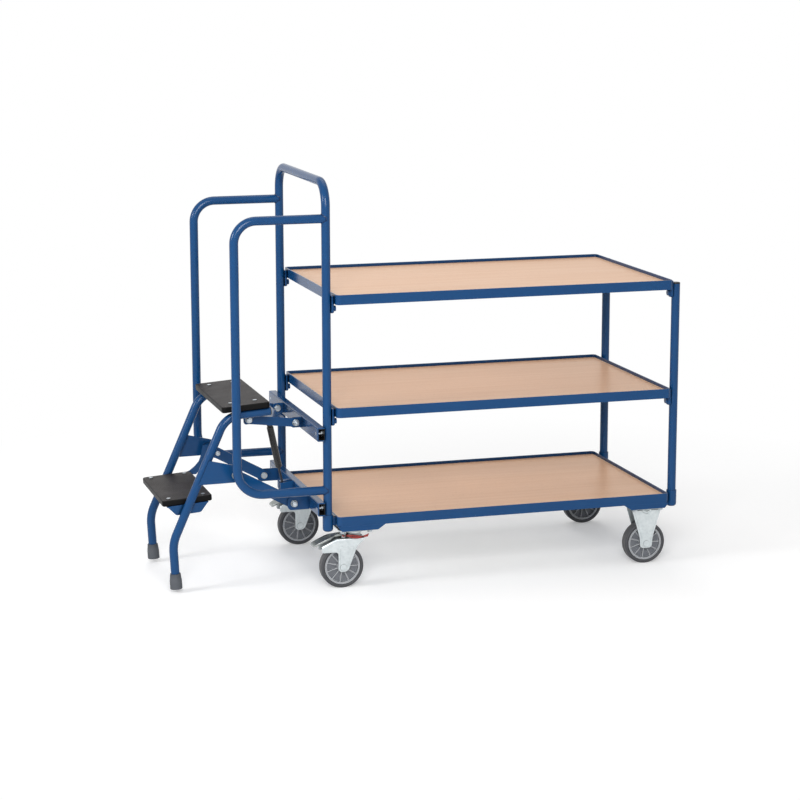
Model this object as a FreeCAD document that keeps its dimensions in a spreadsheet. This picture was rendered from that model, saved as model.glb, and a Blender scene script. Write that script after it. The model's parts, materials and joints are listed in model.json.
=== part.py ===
import FreeCAD, Part
import math
import os
import re

import Sketcher
from FreeCAD import Placement, Rotation, Vector

doc = FreeCAD.newDocument("OrderPickingTrolley")

# Driving dimensions: alias, number in millimetres or degrees, meaning
DRIVING = [
    ("deck_centre_x", "218.76", "middle of the shelves from the middle of the whole trolley"),
    ("fit_gap", "0.05", "radial clearance of a pin that turns in its hole"),
    ("weld_gap", "0.1", "gap where a welded or seated piece meets a round one"),
    ("side_gap", "0.5", "gap between flat faces that slide past each other"),
    ("overrun", "5", "how far a cut runs past the piece it cuts"),
    ("tube_diameter", "25", "all frame tubes"),
    ("tube_wall", "2", "wall of all tubes"),
    ("shelf_length", "1010", "outside length of a shelf frame"),
    ("shelf_width", "610", "outside width of a shelf frame"),
    ("shelf_corner_radius", "12", "outside corner of a shelf frame"),
    ("rim_height", "28", "upright leg of the shelf angle"),
    ("angle_wall", "3", "thickness of the shelf angle"),
    ("angle_ledge", "28", "lying leg of the shelf angle"),
    ("board_thickness", "16", "shelf board"),
    ("board_play", "0.6", "gap between board and angle all round"),
    ("base_rim_z", "217", "rim of the base shelf above the floor"),
    ("middle_rim_z", "531", "rim of the middle shelf"),
    ("top_rim_z", "851", "rim of the top shelf"),
    ("post_standoff", "9", "gap between shelf end and post surface"),
    ("post_inset", "33", "post axis in from the shelf's long side"),
    ("sleeve_foot_z", "171", "bottom of the post sleeves"),
    ("sleeve_height", "48.5", "length of a post sleeve"),
    ("sleeve_wall", "2.5", "wall of a post sleeve"),
    ("sleeve_bottom_radius", "8", "rounding under a post sleeve"),
    ("bridge_width", "14", "weld bridge between sleeve and base frame"),
    ("right_post_top_z", "836", "top of the right posts without their caps"),
    ("cap_height", "4", "plastic cap on a right post"),
    ("cap_plug_depth", "14", "cap plug inside the tube"),
    ("handle_z", "1160", "axis of the push bar"),
    ("handle_bend_radius", "65", "bend of the push bar"),
    ("rail_reach", "260.5", "handrail upright from the left post axis"),
    ("rail_top_z", "1062", "axis of the handrail's upper arm"),
    ("rail_low_z", "291", "axis of the handrail's lower arm"),
    ("rail_top_bend", "62", "upper bend of a handrail"),
    ("rail_low_bend", "74", "lower bend of a handrail"),
    ("bracket_width", "22", "shelf bracket along the shelf end"),
    ("bracket_round_share", "0.33", "rounding of a shelf bracket, share of its width"),
    ("bracket_drop", "26", "shelf bracket below its frame"),
    ("bracket_top_gap", "5", "shelf bracket below the rim"),
    ("shelf_bolt_radius", "4", "shank of a shelf bolt"),
    ("shelf_bolt_head_radius", "8", "round head of a shelf bolt"),
    ("shelf_bolt_head_height", "5", "height of that head"),
    ("sheet", "3", "thickness of the folded channels"),
    ("caster_inset_x", "58", "caster mounting axis in from the shelf end"),
    ("caster_inset_y", "52", "caster mounting axis in from the shelf's long side"),
    ("caster_channel_top", "140", "width of a caster channel at the base frame"),
    ("caster_channel_outer_slope", "12", "how far its outer side leans in"),
    ("caster_channel_inner_slope", "22", "how far its inner side leans in"),
    ("caster_height", "174", "caster mounting face above the floor"),
    ("caster_plate_length", "100", "caster plate along the trolley"),
    ("caster_plate_width", "85", "caster plate across the trolley"),
    ("caster_plate_thickness", "4", "caster plate"),
    ("caster_bolt_spacing_x", "80", "bolt holes along the trolley"),
    ("caster_bolt_spacing_y", "66", "bolt holes across the trolley"),
    ("caster_bolt_radius", "4", "shank of a caster bolt"),
    ("caster_bolt_flats", "13", "hexagon of a caster bolt"),
    ("caster_bolt_head", "5", "height of that hexagon"),
    ("wheel_diameter", "125", "caster wheel"),
    ("tyre_width", "32", "tread width"),
    ("tyre_depth", "11", "rubber over the rim"),
    ("tyre_edge_radius", "5", "rounding of the tread"),
    ("rim_ring_wall", "5", "outer ring of the rim"),
    ("rim_ring_width", "28", "width of that ring"),
    ("rim_web_wall", "6", "disc between hub and ring"),
    ("hub_radius", "15", "wheel hub"),
    ("hub_width", "40", "length of the wheel hub"),
    ("rib_count", "11", "ribs on the wheel disc"),
    ("rib_wall", "2.4", "thickness of a rib"),
    ("rib_width", "22", "ribs across the wheel"),
    ("axle_radius", "5", "wheel axle"),
    ("axle_head_radius", "9", "round head of the wheel axle"),
    ("axle_head_height", "3", "height of that head"),
    ("fork_gap", "42", "space between the legs of a fork"),
    ("fork_wall", "3", "sheet of a fork"),
    ("fork_crown_z", "140", "underside of a swivel fork's crown"),
    ("fork_crown_wall", "7", "pressed crown of a swivel fork"),
    ("fork_tip_radius", "14", "leg below the axle"),
    ("fork_round_share", "0.8", "rounding of a fork's tip, share of that radius"),
    ("trail", "36", "wheel axle behind the swivel axis"),
    ("bearing_radius", "21", "swivel bearing"),
    ("kingpin_radius", "6", "swivel pin in the plate"),
    ("crown_back", "19.6", "back end of a swivel fork's crown from the axle"),
    ("skirt_reach", "62", "swivel fork's skirts over the wheel, back from the axle"),
    ("skirt_low", "45", "lower edge of those skirts above the axle"),
    ("skirt_end", "20", "height of a skirt at its back end"),
    ("fixed_fork_top", "94", "width of a fixed fork at its plate"),
    ("fixed_fork_foot", "38", "width of a fixed fork at its axle"),
    ("fixed_fork_notch", "11", "radius of the notch at a fixed fork's plate"),
    ("pedal_pivot_back", "33", "pedal pin behind the swivel axis"),
    ("pedal_pivot_rise", "10", "pedal pin above the fork crown"),
    ("pedal_pin_radius", "3", "pedal pin"),
    ("pedal_hub_radius", "5.5", "pedal boss round its pin"),
    ("pedal_length", "88", "pedal from its pin to its tip"),
    ("pedal_drop", "28", "pedal tip below its pin"),
    ("pedal_bend_share", "0.33", "pedal's bend from its pin, share of the length"),
    ("pedal_neck_share", "0.17", "pedal's bend below its pin, share of the drop"),
    ("pedal_width", "44", "foot width of the pedal"),
    ("pedal_neck_width", "24", "pedal between its lugs"),
    ("pedal_thickness", "6", "pedal plate"),
    ("lug_wall", "4", "lug that holds the pedal pin"),
    ("release_y", "26", "red release arm beside the swivel axis"),
    ("release_length", "72", "red release arm from the pin"),
    ("release_height", "7", "red release arm"),
    ("release_drop", "3", "right end of the red release arm below the pin"),
    ("release_dip", "9", "middle of the red release arm below the pin"),
    ("release_wall", "3", "sheet of the red release arm"),
    ("channel_height", "39", "cross channel, upright size"),
    ("channel_depth", "21", "cross channel, from web to posts"),
    ("channel_overhang", "20", "cross channel past the axis of a post"),
    ("upper_channel_z", "456", "middle of the upper cross channel"),
    ("lower_channel_z", "240", "middle of the lower cross channel"),
    ("channel_bolt_radius", "4", "bolt from cross channel to post"),
    ("channel_bolt_flats", "14", "nut on that bolt"),
    ("channel_nut_height", "7", "height of that nut"),
    ("link_pin_radius", "5", "pivot bolts of the step linkage"),
    ("link_pin_flats", "15", "hexagon of a pivot bolt"),
    ("link_pin_head", "5", "height of that hexagon"),
    ("washer_radius", "10", "washer under a pivot bolt"),
    ("washer_wall", "1.5", "thickness of that washer"),
    ("upper_pivot_out", "18.5", "upper frame pivot from the channel web"),
    ("upper_pivot_z", "458", "upper frame pivot"),
    ("upper_link_length", "139", "upper link between its pivots"),
    ("upper_link_rise", "6.9", "upper link at rest, rising away from the frame"),
    ("upper_link_height", "25", "cheek of the upper link"),
    ("upper_link_wall", "4", "sheet of the upper link"),
    ("upper_link_y", "114", "middle of an upper link cheek"),
    ("upper_ear_height", "30", "frame ear of the upper link"),
    ("yoke_web_start", "34", "web of the upper link from its frame pivot"),
    ("yoke_web_end", "108", "other edge of that web"),
    ("ear_wall", "5", "sheet of all ears and side plates"),
    ("ear_round_share", "0.33", "rounding of a frame ear, share of its height"),
    ("lower_pivot_out", "44.5", "lower frame pivot from the channel web"),
    ("lower_pivot_z", "238.6", "lower frame pivot"),
    ("lower_link_length", "194.9", "lower link between its pivots"),
    ("lower_link_rise", "28.8", "lower link at rest, rising away from the frame"),
    ("lower_link_height", "32", "bar of the lower link"),
    ("lower_link_wall", "6", "thickness of that bar"),
    ("lower_ear_height", "38", "frame ear of the lower link"),
    ("open_pivot_gap", "0.8", "clearance of the pivots where the linkage is opened"),
    ("gas_bracket_out", "30.5", "lower gas spring pivot from the channel web"),
    ("gas_pivot_z", "246", "lower gas spring pivot"),
    ("gas_length", "211", "gas spring between its pivots"),
    ("gas_lean", "11.6", "gas spring from upright"),
    ("gas_body_radius", "8", "gas spring cylinder"),
    ("gas_body_start", "58", "open end of the cylinder from the lower pivot"),
    ("gas_body_end", "197", "closed end of the cylinder"),
    ("gas_rod_radius", "3.5", "gas spring rod"),
    ("gas_rod_end", "168", "inner end of the rod"),
    ("gas_eye_radius", "8", "eye at each end of the gas spring"),
    ("gas_eye_width", "11", "width of an eye"),
    ("gas_pin_radius", "4", "pins of the gas spring"),
    ("gas_lug_radius", "11", "lugs that hold those pins"),
    ("gas_bracket_height", "34", "gas spring bracket on the channel"),
    ("step_tilt", "4.1", "raised step unit, left side low"),
    ("leg_y", "174", "middle plane of a step leg"),
    ("leg_start", "51", "right end of a leg from the upper step pivot"),
    ("leg_rise", "31", "level part of a leg above that pivot"),
    ("leg_knee_back", "77", "upper knee of a leg behind that pivot"),
    ("leg_ankle_back", "260.6", "lower knee of a leg behind that pivot"),
    ("leg_ankle_drop", "313", "lower knee of a leg below that pivot"),
    ("leg_end_back", "262.6", "lower end of a leg behind that pivot"),
    ("leg_end_drop", "418", "lower end of a leg below that pivot"),
    ("leg_knee_radius", "70", "upper bend of a leg"),
    ("leg_ankle_radius", "110", "lower bend of a leg"),
    ("foot_height", "44", "rubber foot"),
    ("foot_radius", "17.5", "rubber foot at the floor"),
    ("foot_cover", "16", "tube held inside the rubber foot"),
    ("step_thickness", "17", "step board"),
    ("step_corner_radius", "10", "corner of a step board"),
    ("upper_step_front", "50", "right edge of the upper step from the pivot"),
    ("upper_step_depth", "139", "going of the upper step"),
    ("upper_step_half", "190", "half the width of the upper step"),
    ("lower_step_front", "133", "right edge of the lower step behind the pivot"),
    ("lower_step_depth", "144", "going of the lower step"),
    ("lower_step_half", "158", "half the width of the lower step"),
    ("lower_step_drop", "192.5", "lower step top below the pivot"),
    ("tray_wall", "3", "sheet under both steps"),
    ("lower_tray_front", "146", "right edge of the lower tray behind the pivot"),
    ("lower_tray_length", "119", "lower tray along the trolley"),
    ("lower_tray_depth", "28", "cheek of the lower tray"),
    ("lower_tray_slope", "24", "sloping ends of that cheek"),
    ("upper_tray_front", "38", "right edge of the upper tray from the pivot"),
    ("upper_tray_length", "80", "upper tray along the trolley"),
    ("step_ear_radius", "14", "ear of the upper tray round the pivot"),
    ("plate_top_drop", "86", "side plate at the leg, upper edge below the pivot"),
    ("plate_low_drop", "152", "side plate at the leg, lower edge below the pivot"),
    ("plate_tip_radius", "22", "side plate round the lower link pivot"),
    ("plate_round_share", "0.67", "rounding of a side plate's tip, share of that radius"),
    ("upper_screw_inset", "34", "upper step screws in from its long edges"),
    ("upper_screw_end", "45", "upper step screws in from its ends"),
    ("lower_screw_inset", "22", "lower step screws in from all edges"),
    ("screw_radius", "3", "shank of a step screw"),
    ("screw_head_radius", "6", "dome of a step screw"),
    ("screw_head_height", "2", "height of that dome"),
]
sheet = doc.addObject("Spreadsheet::Sheet", "Sizes")
for row, (alias, number, meaning) in enumerate(DRIVING, start=1):
    sheet.set(f"A{row}", meaning)
    sheet.set(f"B{row}", number)
    sheet.setAlias(f"B{row}", alias)
doc.recompute()
ALIASES = {alias for alias, number, meaning in DRIVING}
NODES = []


def bound(formula):
    """The formula with every alias written as a cell of the sheet."""
    return re.sub(r"[a-z]\w*", lambda word: "Sizes." + word[0] if word[0] in ALIASES else word[0], formula)


def bind(item, prop, formula):
    item.setExpression(prop, bound(formula))


def amount(formula):
    return float(sheet.evalExpression(formula))


def node(label, item):
    item.Label = label
    NODES.append(item)
    return item


def new_body(frame):
    """An empty body that stands in a frame: x, y, z, the way its turn goes about Y, and the turn."""
    body = doc.addObject("PartDesign::Body", "Body")
    x, y, z, way, turn = frame
    body.Placement = Placement(Vector(), Rotation(Vector(0, way, 0), amount(turn)))
    for axis, formula in zip("xyz", (x, y, z)):
        bind(body, f"Placement.Base.{axis}", formula)
    if turn != "0":
        bind(body, "Placement.Rotation.Angle", turn)
    return body


def drawing(body, role, lift="0"):
    """A sketch on one of the body's own origin planes, lifted along that plane's normal."""
    page = body.newObject("Sketcher::SketchObject", "Drawing")
    plane = next(feature for feature in body.Origin.OriginFeatures if feature.Role == role)
    page.AttachmentSupport = [(plane, "")]
    page.MapMode = "FlatFace"
    bind(page, "AttachmentOffset.Base.z", lift)
    return page


def rule(page, kind, *where, formula):
    """One dimension of a sketch, bound to its formula."""
    index = page.addConstraint(Sketcher.Constraint(kind, *where, amount(formula)))
    page.setExpression(f"Constraints[{index}]", bound(formula))


def pin_point(page, shape, spot, across, up):
    rule(page, "DistanceX", -1, 1, shape, spot, formula=across)
    rule(page, "DistanceY", -1, 1, shape, spot, formula=up)


def tie(page, kind, *where):
    page.addConstraint(Sketcher.Constraint(kind, *where))


def outline(page, corners):
    """A closed outline of straight sides."""
    spots = [Vector(amount(across), amount(up)) for across, up in corners]
    follow = spots[1:] + spots[:1]
    lines = [page.addGeometry(Part.LineSegment(start, end)) for start, end in zip(spots, follow)]
    for line, after, corner in zip(lines, lines[1:] + lines[:1], corners):
        tie(page, "Coincident", line, 2, after, 1)
        pin_point(page, line, 1, *corner)


def circle(page, across, up, radius):
    spot = Vector(amount(across), amount(up))
    shape = page.addGeometry(Part.Circle(spot, Vector(0, 0, 1), amount(radius)))
    rule(page, "Radius", shape, formula=radius)
    pin_point(page, shape, 3, across, up)


def arc_chain(page, centres, radius, sweep):
    """Equal arcs round the centres, anticlockwise from the lower right, joined by straight sides."""
    size = amount(radius)
    arcs = []
    for turn, (across, up) in enumerate(centres):
        start = -math.pi / 2 + turn * sweep
        ring = Part.Circle(Vector(amount(across), amount(up)), Vector(0, 0, 1), size)
        arcs.append(page.addGeometry(Part.ArcOfCircle(ring, start, start + sweep)))
        rule(page, "Radius", arcs[-1], formula=radius)
        pin_point(page, arcs[-1], 3, across, up)
    for arc, after in zip(arcs, arcs[1:] + arcs[:1]):
        ends = (page.Geometry[arc].EndPoint, page.Geometry[after].StartPoint)
        line = page.addGeometry(Part.LineSegment(*ends))
        tie(page, "Tangent", arc, 2, line, 1)
        tie(page, "Tangent", line, 2, after, 1)


def rounded(page, low, high, radius):
    """A rectangle with round corners, from its low to its high corner."""
    left, right = f"{low[0]} + {radius}", f"{high[0]} - {radius}"
    bottom, top = f"{low[1]} + {radius}", f"{high[1]} - {radius}"
    arc_chain(page, [(right, bottom), (right, top), (left, top), (left, bottom)], radius, math.pi / 2)


def slot(page, left, right, radius):
    """A bar with round ends along the first axis."""
    arc_chain(page, [(right, "0"), (left, "0")], radius, math.pi)


def hexagon(page, across, up, flats):
    arms = [(f"cos({60 * turn})", f"sin({60 * turn})") for turn in range(6)]
    reach = f"{flats} / sqrt(3)"
    outline(page, [(f"{across} + {reach} * {x}", f"{up} + {reach} * {y}") for x, y in arms])


def pad(body, page, depth, side="Symmetric", back=False):
    feature = body.newObject("PartDesign::Pad", "Pad")
    feature.Profile = page
    feature.SideType = side
    feature.Reversed = back
    bind(feature, "Length", depth)
    return feature


def pocket(body, page, depth, side="Symmetric"):
    feature = body.newObject("PartDesign::Pocket", "Pocket")
    feature.Profile = page
    feature.SideType = side
    bind(feature, "Length", depth)
    return feature


def lathe(body, page):
    """The drawing turned once round its own first axis."""
    feature = body.newObject("PartDesign::Revolution", "Revolution")
    feature.Profile = page
    feature.ReferenceAxis = (page, ["H_Axis"])
    return feature


def soften(body, spots, radius, axes="xz"):
    """Round the straight edges of the body that stand on the given spots of a drawing."""
    doc.recompute()
    base = body.Tip
    near = amount("weld_gap")
    places = [[amount(formula) for formula in spot] for spot in spots]
    names = []
    for index, edge in enumerate(base.Shape.Edges, start=1):
        ends = [[getattr(vertex.Point, axis) for axis in axes] for vertex in edge.Vertexes]
        if any(all(math.dist(end, place) < near for end in ends) for place in places):
            names.append(f"Edge{index}")
    feature = body.newObject("PartDesign::Fillet", "Fillet")
    feature.Base = (base, names)
    bind(feature, "Radius", radius)


def bent_tube(frame, role, path, bends, profile_role, profile_lift, profile_spot):
    """A tube along straight runs joined by bends, its section drawn square to the first run."""
    body = new_body(frame)
    page = drawing(body, role)
    spots = [Vector(amount(across), amount(up)) for across, up in path]
    cuts = [spots[0]]
    for before, corner, after, bend in zip(spots, spots[1:], spots[2:], bends):
        back = (before - corner).normalize()
        ahead = (after - corner).normalize()
        reach = amount(bend) / math.tan(back.getAngle(ahead) / 2)
        cuts += [corner + back * reach, corner + ahead * reach]
    cuts.append(spots[-1])
    runs = [page.addGeometry(Part.LineSegment(cuts[i], cuts[i + 1])) for i in range(0, len(cuts), 2)]
    for turn, (bend, corner) in enumerate(zip(bends, path[1:-1])):
        start, end = cuts[2 * turn + 1], cuts[2 * turn + 2]
        knee = spots[turn + 1]
        inward = ((start + end) * 0.5 - knee).normalize()
        half_turn = (start - knee).getAngle(inward)
        centre = knee + inward * (amount(bend) / math.sin(half_turn))
        leftward = (knee - start).cross(end - knee).z > 0
        first = 1 if leftward else 2
        angles = [math.atan2(spot.y - centre.y, spot.x - centre.x) for spot in (start, end)]
        ring = Part.Circle(centre, Vector(0, 0, 1), amount(bend))
        arc = page.addGeometry(Part.ArcOfCircle(ring, angles[first - 1], angles[2 - first]))
        tie(page, "Tangent", runs[turn], 2, arc, first)
        tie(page, "Tangent", arc, 3 - first, runs[turn + 1], 1)
        rule(page, "Radius", arc, formula=bend)
        mark = page.addGeometry(Part.Point(knee), True)
        pin_point(page, mark, 1, *corner)
        tie(page, "PointOnObject", mark, 1, runs[turn])
        tie(page, "PointOnObject", mark, 1, runs[turn + 1])
    pin_point(page, runs[0], 1, *path[0])
    pin_point(page, runs[-1], 2, *path[-1])
    section = drawing(body, profile_role, profile_lift)
    circle(section, *profile_spot, "tube_diameter / 2")
    circle(section, *profile_spot, "tube_diameter / 2 - tube_wall")
    sweep = body.newObject("PartDesign::AdditivePipe", "Pipe")
    sweep.Profile = section
    sweep.Spine = (page, [])
    return body


def mirrored(item, across=False):
    """The piece seen in the trolley's middle plane, or in the plane across the shelf middle."""
    twin = doc.addObject("Part::Mirroring", "Mirroring")
    twin.Source = item
    twin.Normal = Vector(1, 0, 0) if across else Vector(0, 1, 0)
    if across:
        bind(twin, "Base.x", "deck_centre_x")
    return twin


def group(label, items):
    gathered = doc.addObject("Part::Compound", "Compound")
    gathered.Links = items
    return node(label, gathered)


def both_sides(label, item):
    return group(label, [item, mirrored(item)])


def all_corners(label, item):
    right = [item, mirrored(item)]
    return group(label, right + [mirrored(piece, across=True) for piece in right])


# Frames: where a piece's own drawing stands, its turn about Y, and the shared places
def on_deck(x="0", y="0", z="0"):
    return (f"deck_centre_x + {x}", y, z, 1, "0")


HALF_LENGTH = "shelf_length / 2"
POST_X = "(shelf_length / 2 + post_standoff + tube_diameter / 2)"
POST_Y = "(shelf_width / 2 - post_inset)"
POST_FACE = f"({POST_X} + tube_diameter / 2 + weld_gap)"
WEB_X = f"(-{POST_FACE} - channel_depth)"
UPPER_X = f"({WEB_X} - upper_pivot_out)"
LOWER_X = f"({WEB_X} - lower_pivot_out)"
GAS_X = f"({WEB_X} - gas_bracket_out)"
STEP_X = f"({UPPER_X} - upper_link_length * cos(upper_link_rise))"
STEP_Z = "(upper_pivot_z + upper_link_length * sin(upper_link_rise))"
TIP_X = f"({LOWER_X} - lower_link_length * cos(lower_link_rise) - {STEP_X})"
TIP_Z = f"(lower_pivot_z + lower_link_length * sin(lower_link_rise) - {STEP_Z})"
TIP = (f"({TIP_X} * cos(step_tilt) + {TIP_Z} * sin(step_tilt))",
       f"({TIP_Z} * cos(step_tilt) - {TIP_X} * sin(step_tilt))")
GAS_TOP_X = f"({GAS_X} - gas_length * sin(gas_lean) - {UPPER_X})"
GAS_TOP_Z = "(gas_pivot_z + gas_length * cos(gas_lean) - upper_pivot_z)"
GAS_TOP = (f"({GAS_TOP_X} * cos(upper_link_rise) - {GAS_TOP_Z} * sin(upper_link_rise))",
           f"({GAS_TOP_Z} * cos(upper_link_rise) + {GAS_TOP_X} * sin(upper_link_rise))")
STEP_FRAME = (f"deck_centre_x + {STEP_X}", "0", STEP_Z, -1, "step_tilt")
UPPER_FRAME = (f"deck_centre_x + {UPPER_X}", "0", "upper_pivot_z", 1, "upper_link_rise")
LOWER_FRAME = (f"deck_centre_x + {LOWER_X}", "0", "lower_pivot_z", 1, "lower_link_rise")
GAS_FRAME = (f"deck_centre_x + {GAS_X}", "0", "gas_pivot_z", -1, "gas_lean")
PIN_HOLE = "link_pin_radius + fit_gap"


# Shelves: an angle-steel tray with a loose board on its ledge
def shelf(name, rim_z):
    body = new_body(on_deck(z=rim_z))
    for inset, lift, depth in (("0", "-rim_height", "rim_height"),
                               ("angle_wall", "0", "rim_height - angle_wall"),
                               ("angle_ledge", "overrun", "rim_height + 2 * overrun")):
        page = drawing(body, "XY_Plane", lift)
        half = (f"shelf_length / 2 - {inset}", f"shelf_width / 2 - {inset}")
        low = (f"-{HALF_LENGTH} + {inset}", f"-shelf_width / 2 + {inset}")
        if inset == "0":
            rounded(page, low, half, "shelf_corner_radius")
            pad(body, page, depth, "One side")
        elif inset == "angle_wall":
            rounded(page, low, half, "(shelf_corner_radius - angle_wall)")
            pocket(body, page, depth, "One side")
        else:
            outline(page, [low, (half[0], low[1]), half, (low[0], half[1])])
            pocket(body, page, depth, "One side")
    node(f"{name}_shelf_frame", body)
    board = new_body(on_deck(z=f"{rim_z} - rim_height + angle_wall"))
    page = drawing(board, "XY_Plane")
    half = ("shelf_length / 2 - angle_wall - board_play", "shelf_width / 2 - angle_wall - board_play")
    rounded(page, tuple(f"-({formula})" for formula in half), half, "(shelf_corner_radius - angle_wall)")
    pad(board, page, "board_thickness", "One side")
    node(f"{name}_shelf_board", board)


for shelf_name, shelf_rim in (("base", "base_rim_z"), ("middle", "middle_rim_z"), ("top", "top_rim_z")):
    shelf(shelf_name, shelf_rim)

# Posts: the left pair is one bent tube with the push bar, the right pair stands alone
SEAT_Z = "(sleeve_foot_z + sleeve_wall)"
node("handle_frame", bent_tube(
    on_deck(f"-{POST_X}"), "YZ_Plane",
    [(f"-{POST_Y}", SEAT_Z), (f"-{POST_Y}", "handle_z"), (POST_Y, "handle_z"), (POST_Y, SEAT_Z)],
    ["handle_bend_radius", "handle_bend_radius"], "XY_Plane", SEAT_Z, ("0", f"-{POST_Y}")))


def right_post():
    body = new_body(on_deck(POST_X, f"-{POST_Y}"))
    page = drawing(body, "XY_Plane", SEAT_Z)
    circle(page, "0", "0", "tube_diameter / 2")
    circle(page, "0", "0", "tube_diameter / 2 - tube_wall")
    pad(body, page, f"right_post_top_z - {SEAT_Z}", "One side")
    return body


node("front_right_post", right_post())
node("rear_right_post", mirrored(NODES[-1]))


def post_cap():
    body = new_body(on_deck(POST_X, f"-{POST_Y}"))
    head = drawing(body, "XY_Plane", "right_post_top_z")
    circle(head, "0", "0", "tube_diameter / 2")
    pad(body, head, "cap_height", "One side")
    plug = drawing(body, "XY_Plane", "right_post_top_z")
    circle(plug, "0", "0", "tube_diameter / 2 - tube_wall - weld_gap")
    pad(body, plug, "cap_plug_depth", "One side", back=True)
    doc.recompute()
    feature = body.newObject("PartDesign::Fillet", "Fillet")
    top = max(range(len(body.Shape.Edges)), key=lambda index: body.Shape.Edges[index].CenterOfMass.z)
    feature.Base = (body.Group[-2], [f"Edge{top + 1}"])
    bind(feature, "Radius", "cap_height / 2")
    return body


both_sides("post_caps", post_cap())


def post_sleeve():
    """A cup for the post's foot, welded to the base frame by a short bridge."""
    body = new_body(on_deck(POST_X, f"-{POST_Y}"))
    cup = drawing(body, "XY_Plane", "sleeve_foot_z")
    circle(cup, "0", "0", "tube_diameter / 2 + weld_gap + sleeve_wall")
    pad(body, cup, "sleeve_height", "One side")
    doc.recompute()
    low = min(range(len(body.Shape.Edges)), key=lambda index: body.Shape.Edges[index].CenterOfMass.z)
    feature = body.newObject("PartDesign::Fillet", "Fillet")
    feature.Base = (body.Group[-2], [f"Edge{low + 1}"])
    bind(feature, "Radius", "sleeve_bottom_radius")
    bridge = drawing(body, "XY_Plane", "base_rim_z - rim_height")
    face = "-(post_standoff + tube_diameter / 2)"
    half = "bridge_width / 2"
    outline(bridge, [(face, f"-{half}"), ("0", f"-{half}"), ("0", half), (face, half)])
    pad(body, bridge, "rim_height - bracket_top_gap", "One side")
    bore = drawing(body, "XY_Plane", "sleeve_foot_z + sleeve_height")
    circle(bore, "0", "0", "tube_diameter / 2 + weld_gap")
    pocket(body, bore, "sleeve_height - sleeve_wall", "One side")
    return body


all_corners("post_sleeves", post_sleeve())


# Shelf brackets: a tab between shelf end and post, with a bolt below the frame
def shelf_bracket(rim_z):
    body = new_body(on_deck(HALF_LENGTH, f"-{POST_Y}", f"{rim_z} - rim_height"))
    page = drawing(body, "XZ_Plane")
    far = "post_standoff - weld_gap"
    top = "rim_height - bracket_top_gap"
    outline(page, [("0", "-bracket_drop"), (far, "-bracket_drop"), (far, top), ("0", top)])
    pad(body, page, "bracket_width")
    hole = drawing(body, "YZ_Plane", "0")
    circle(hole, "0", "-bracket_drop / 2", "shelf_bolt_radius + fit_gap")
    pocket(body, hole, "2 * (post_standoff + overrun)")
    soften(body, [("0", "-bracket_drop")], "post_standoff / 2")
    soften(body, [("-bracket_width / 2", "-bracket_drop"), ("bracket_width / 2", "-bracket_drop")],
           "bracket_width * bracket_round_share", axes="yz")
    return body


def shelf_bolt(rim_z):
    body = new_body(on_deck(HALF_LENGTH, f"-{POST_Y}", f"{rim_z} - rim_height - bracket_drop / 2"))
    head = drawing(body, "YZ_Plane")
    circle(head, "0", "0", "shelf_bolt_head_radius")
    pad(body, head, "shelf_bolt_head_height", "One side", back=True)
    shank = drawing(body, "YZ_Plane")
    circle(shank, "0", "0", "shelf_bolt_radius")
    pad(body, shank, "post_standoff - weld_gap", "One side")
    return body


all_corners("middle_shelf_brackets", shelf_bracket("middle_rim_z"))
all_corners("top_shelf_brackets", shelf_bracket("top_rim_z"))
bolts = []
for shelf_rim in ("middle_rim_z", "top_rim_z"):
    first = shelf_bolt(shelf_rim)
    right_pair = [first, mirrored(first)]
    bolts += right_pair + [mirrored(bolt, across=True) for bolt in right_pair]
group("shelf_bolts", bolts)

# Handrails: C-shaped tubes, their ends cut hollow to sit on the left posts
def handrail():
    end, far = f"-{POST_X}", f"-{POST_X} - rail_reach"
    path = [(end, "rail_top_z"), (far, "rail_top_z"), (far, "rail_low_z"), (end, "rail_low_z")]
    body = bent_tube(on_deck(y=f"-{POST_Y}"), "XZ_Plane", path, ["rail_top_bend", "rail_low_bend"],
                     "YZ_Plane", end, ("0", "rail_top_z"))
    seat = drawing(body, "XY_Plane")
    circle(seat, end, "0", "tube_diameter / 2 + weld_gap")
    cut = pocket(body, seat, "handle_z", "One side")
    cut.Reversed = True
    return body


node("front_handrail", handrail())
node("rear_handrail", mirrored(NODES[-1]))


# Caster channels: folded troughs under the base frame, one for each pair of casters
def caster_channel():
    body = new_body(on_deck(HALF_LENGTH))
    top, bottom = "base_rim_z - rim_height", "caster_height"
    inner = "-caster_channel_top"
    inner_foot, outer_foot = f"{inner} + caster_channel_inner_slope", "-caster_channel_outer_slope"
    page = drawing(body, "XZ_Plane")
    outline(page, [(inner_foot, bottom), (outer_foot, bottom), ("0", top), (inner, top)])
    pad(body, page, "shelf_width")
    inside = drawing(body, "XZ_Plane")
    outline(inside, [(f"{inner_foot} + sheet", f"{bottom} + sheet"),
                     (f"{outer_foot} - sheet", f"{bottom} + sheet"),
                     ("-sheet", f"{top} + overrun"), (f"{inner} + sheet", f"{top} + overrun")])
    pocket(body, inside, "shelf_width - 2 * sheet")
    return body


node("right_caster_channel", caster_channel())
node("left_caster_channel", mirrored(NODES[-1], across=True))


# Cross channels: open towards the left posts, they carry the step unit
def cross_channel(z):
    body = new_body(on_deck(WEB_X, z=z))
    page = drawing(body, "XZ_Plane")
    low, high = "-channel_height / 2", "channel_height / 2"
    outline(page, [("0", low), ("channel_depth", low), ("channel_depth", f"{low} + sheet"),
                   ("sheet", f"{low} + sheet"), ("sheet", f"{high} - sheet"),
                   ("channel_depth", f"{high} - sheet"), ("channel_depth", high), ("0", high)])
    pad(body, page, f"2 * ({POST_Y} + channel_overhang)")
    hole = drawing(body, "YZ_Plane")
    for side in (f"-{POST_Y}", POST_Y):
        circle(hole, side, "0", "channel_bolt_radius + fit_gap")
    pocket(body, hole, "2 * (sheet + overrun)")
    soften(body, [("0", low), ("0", high)], "sheet")
    return body


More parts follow.
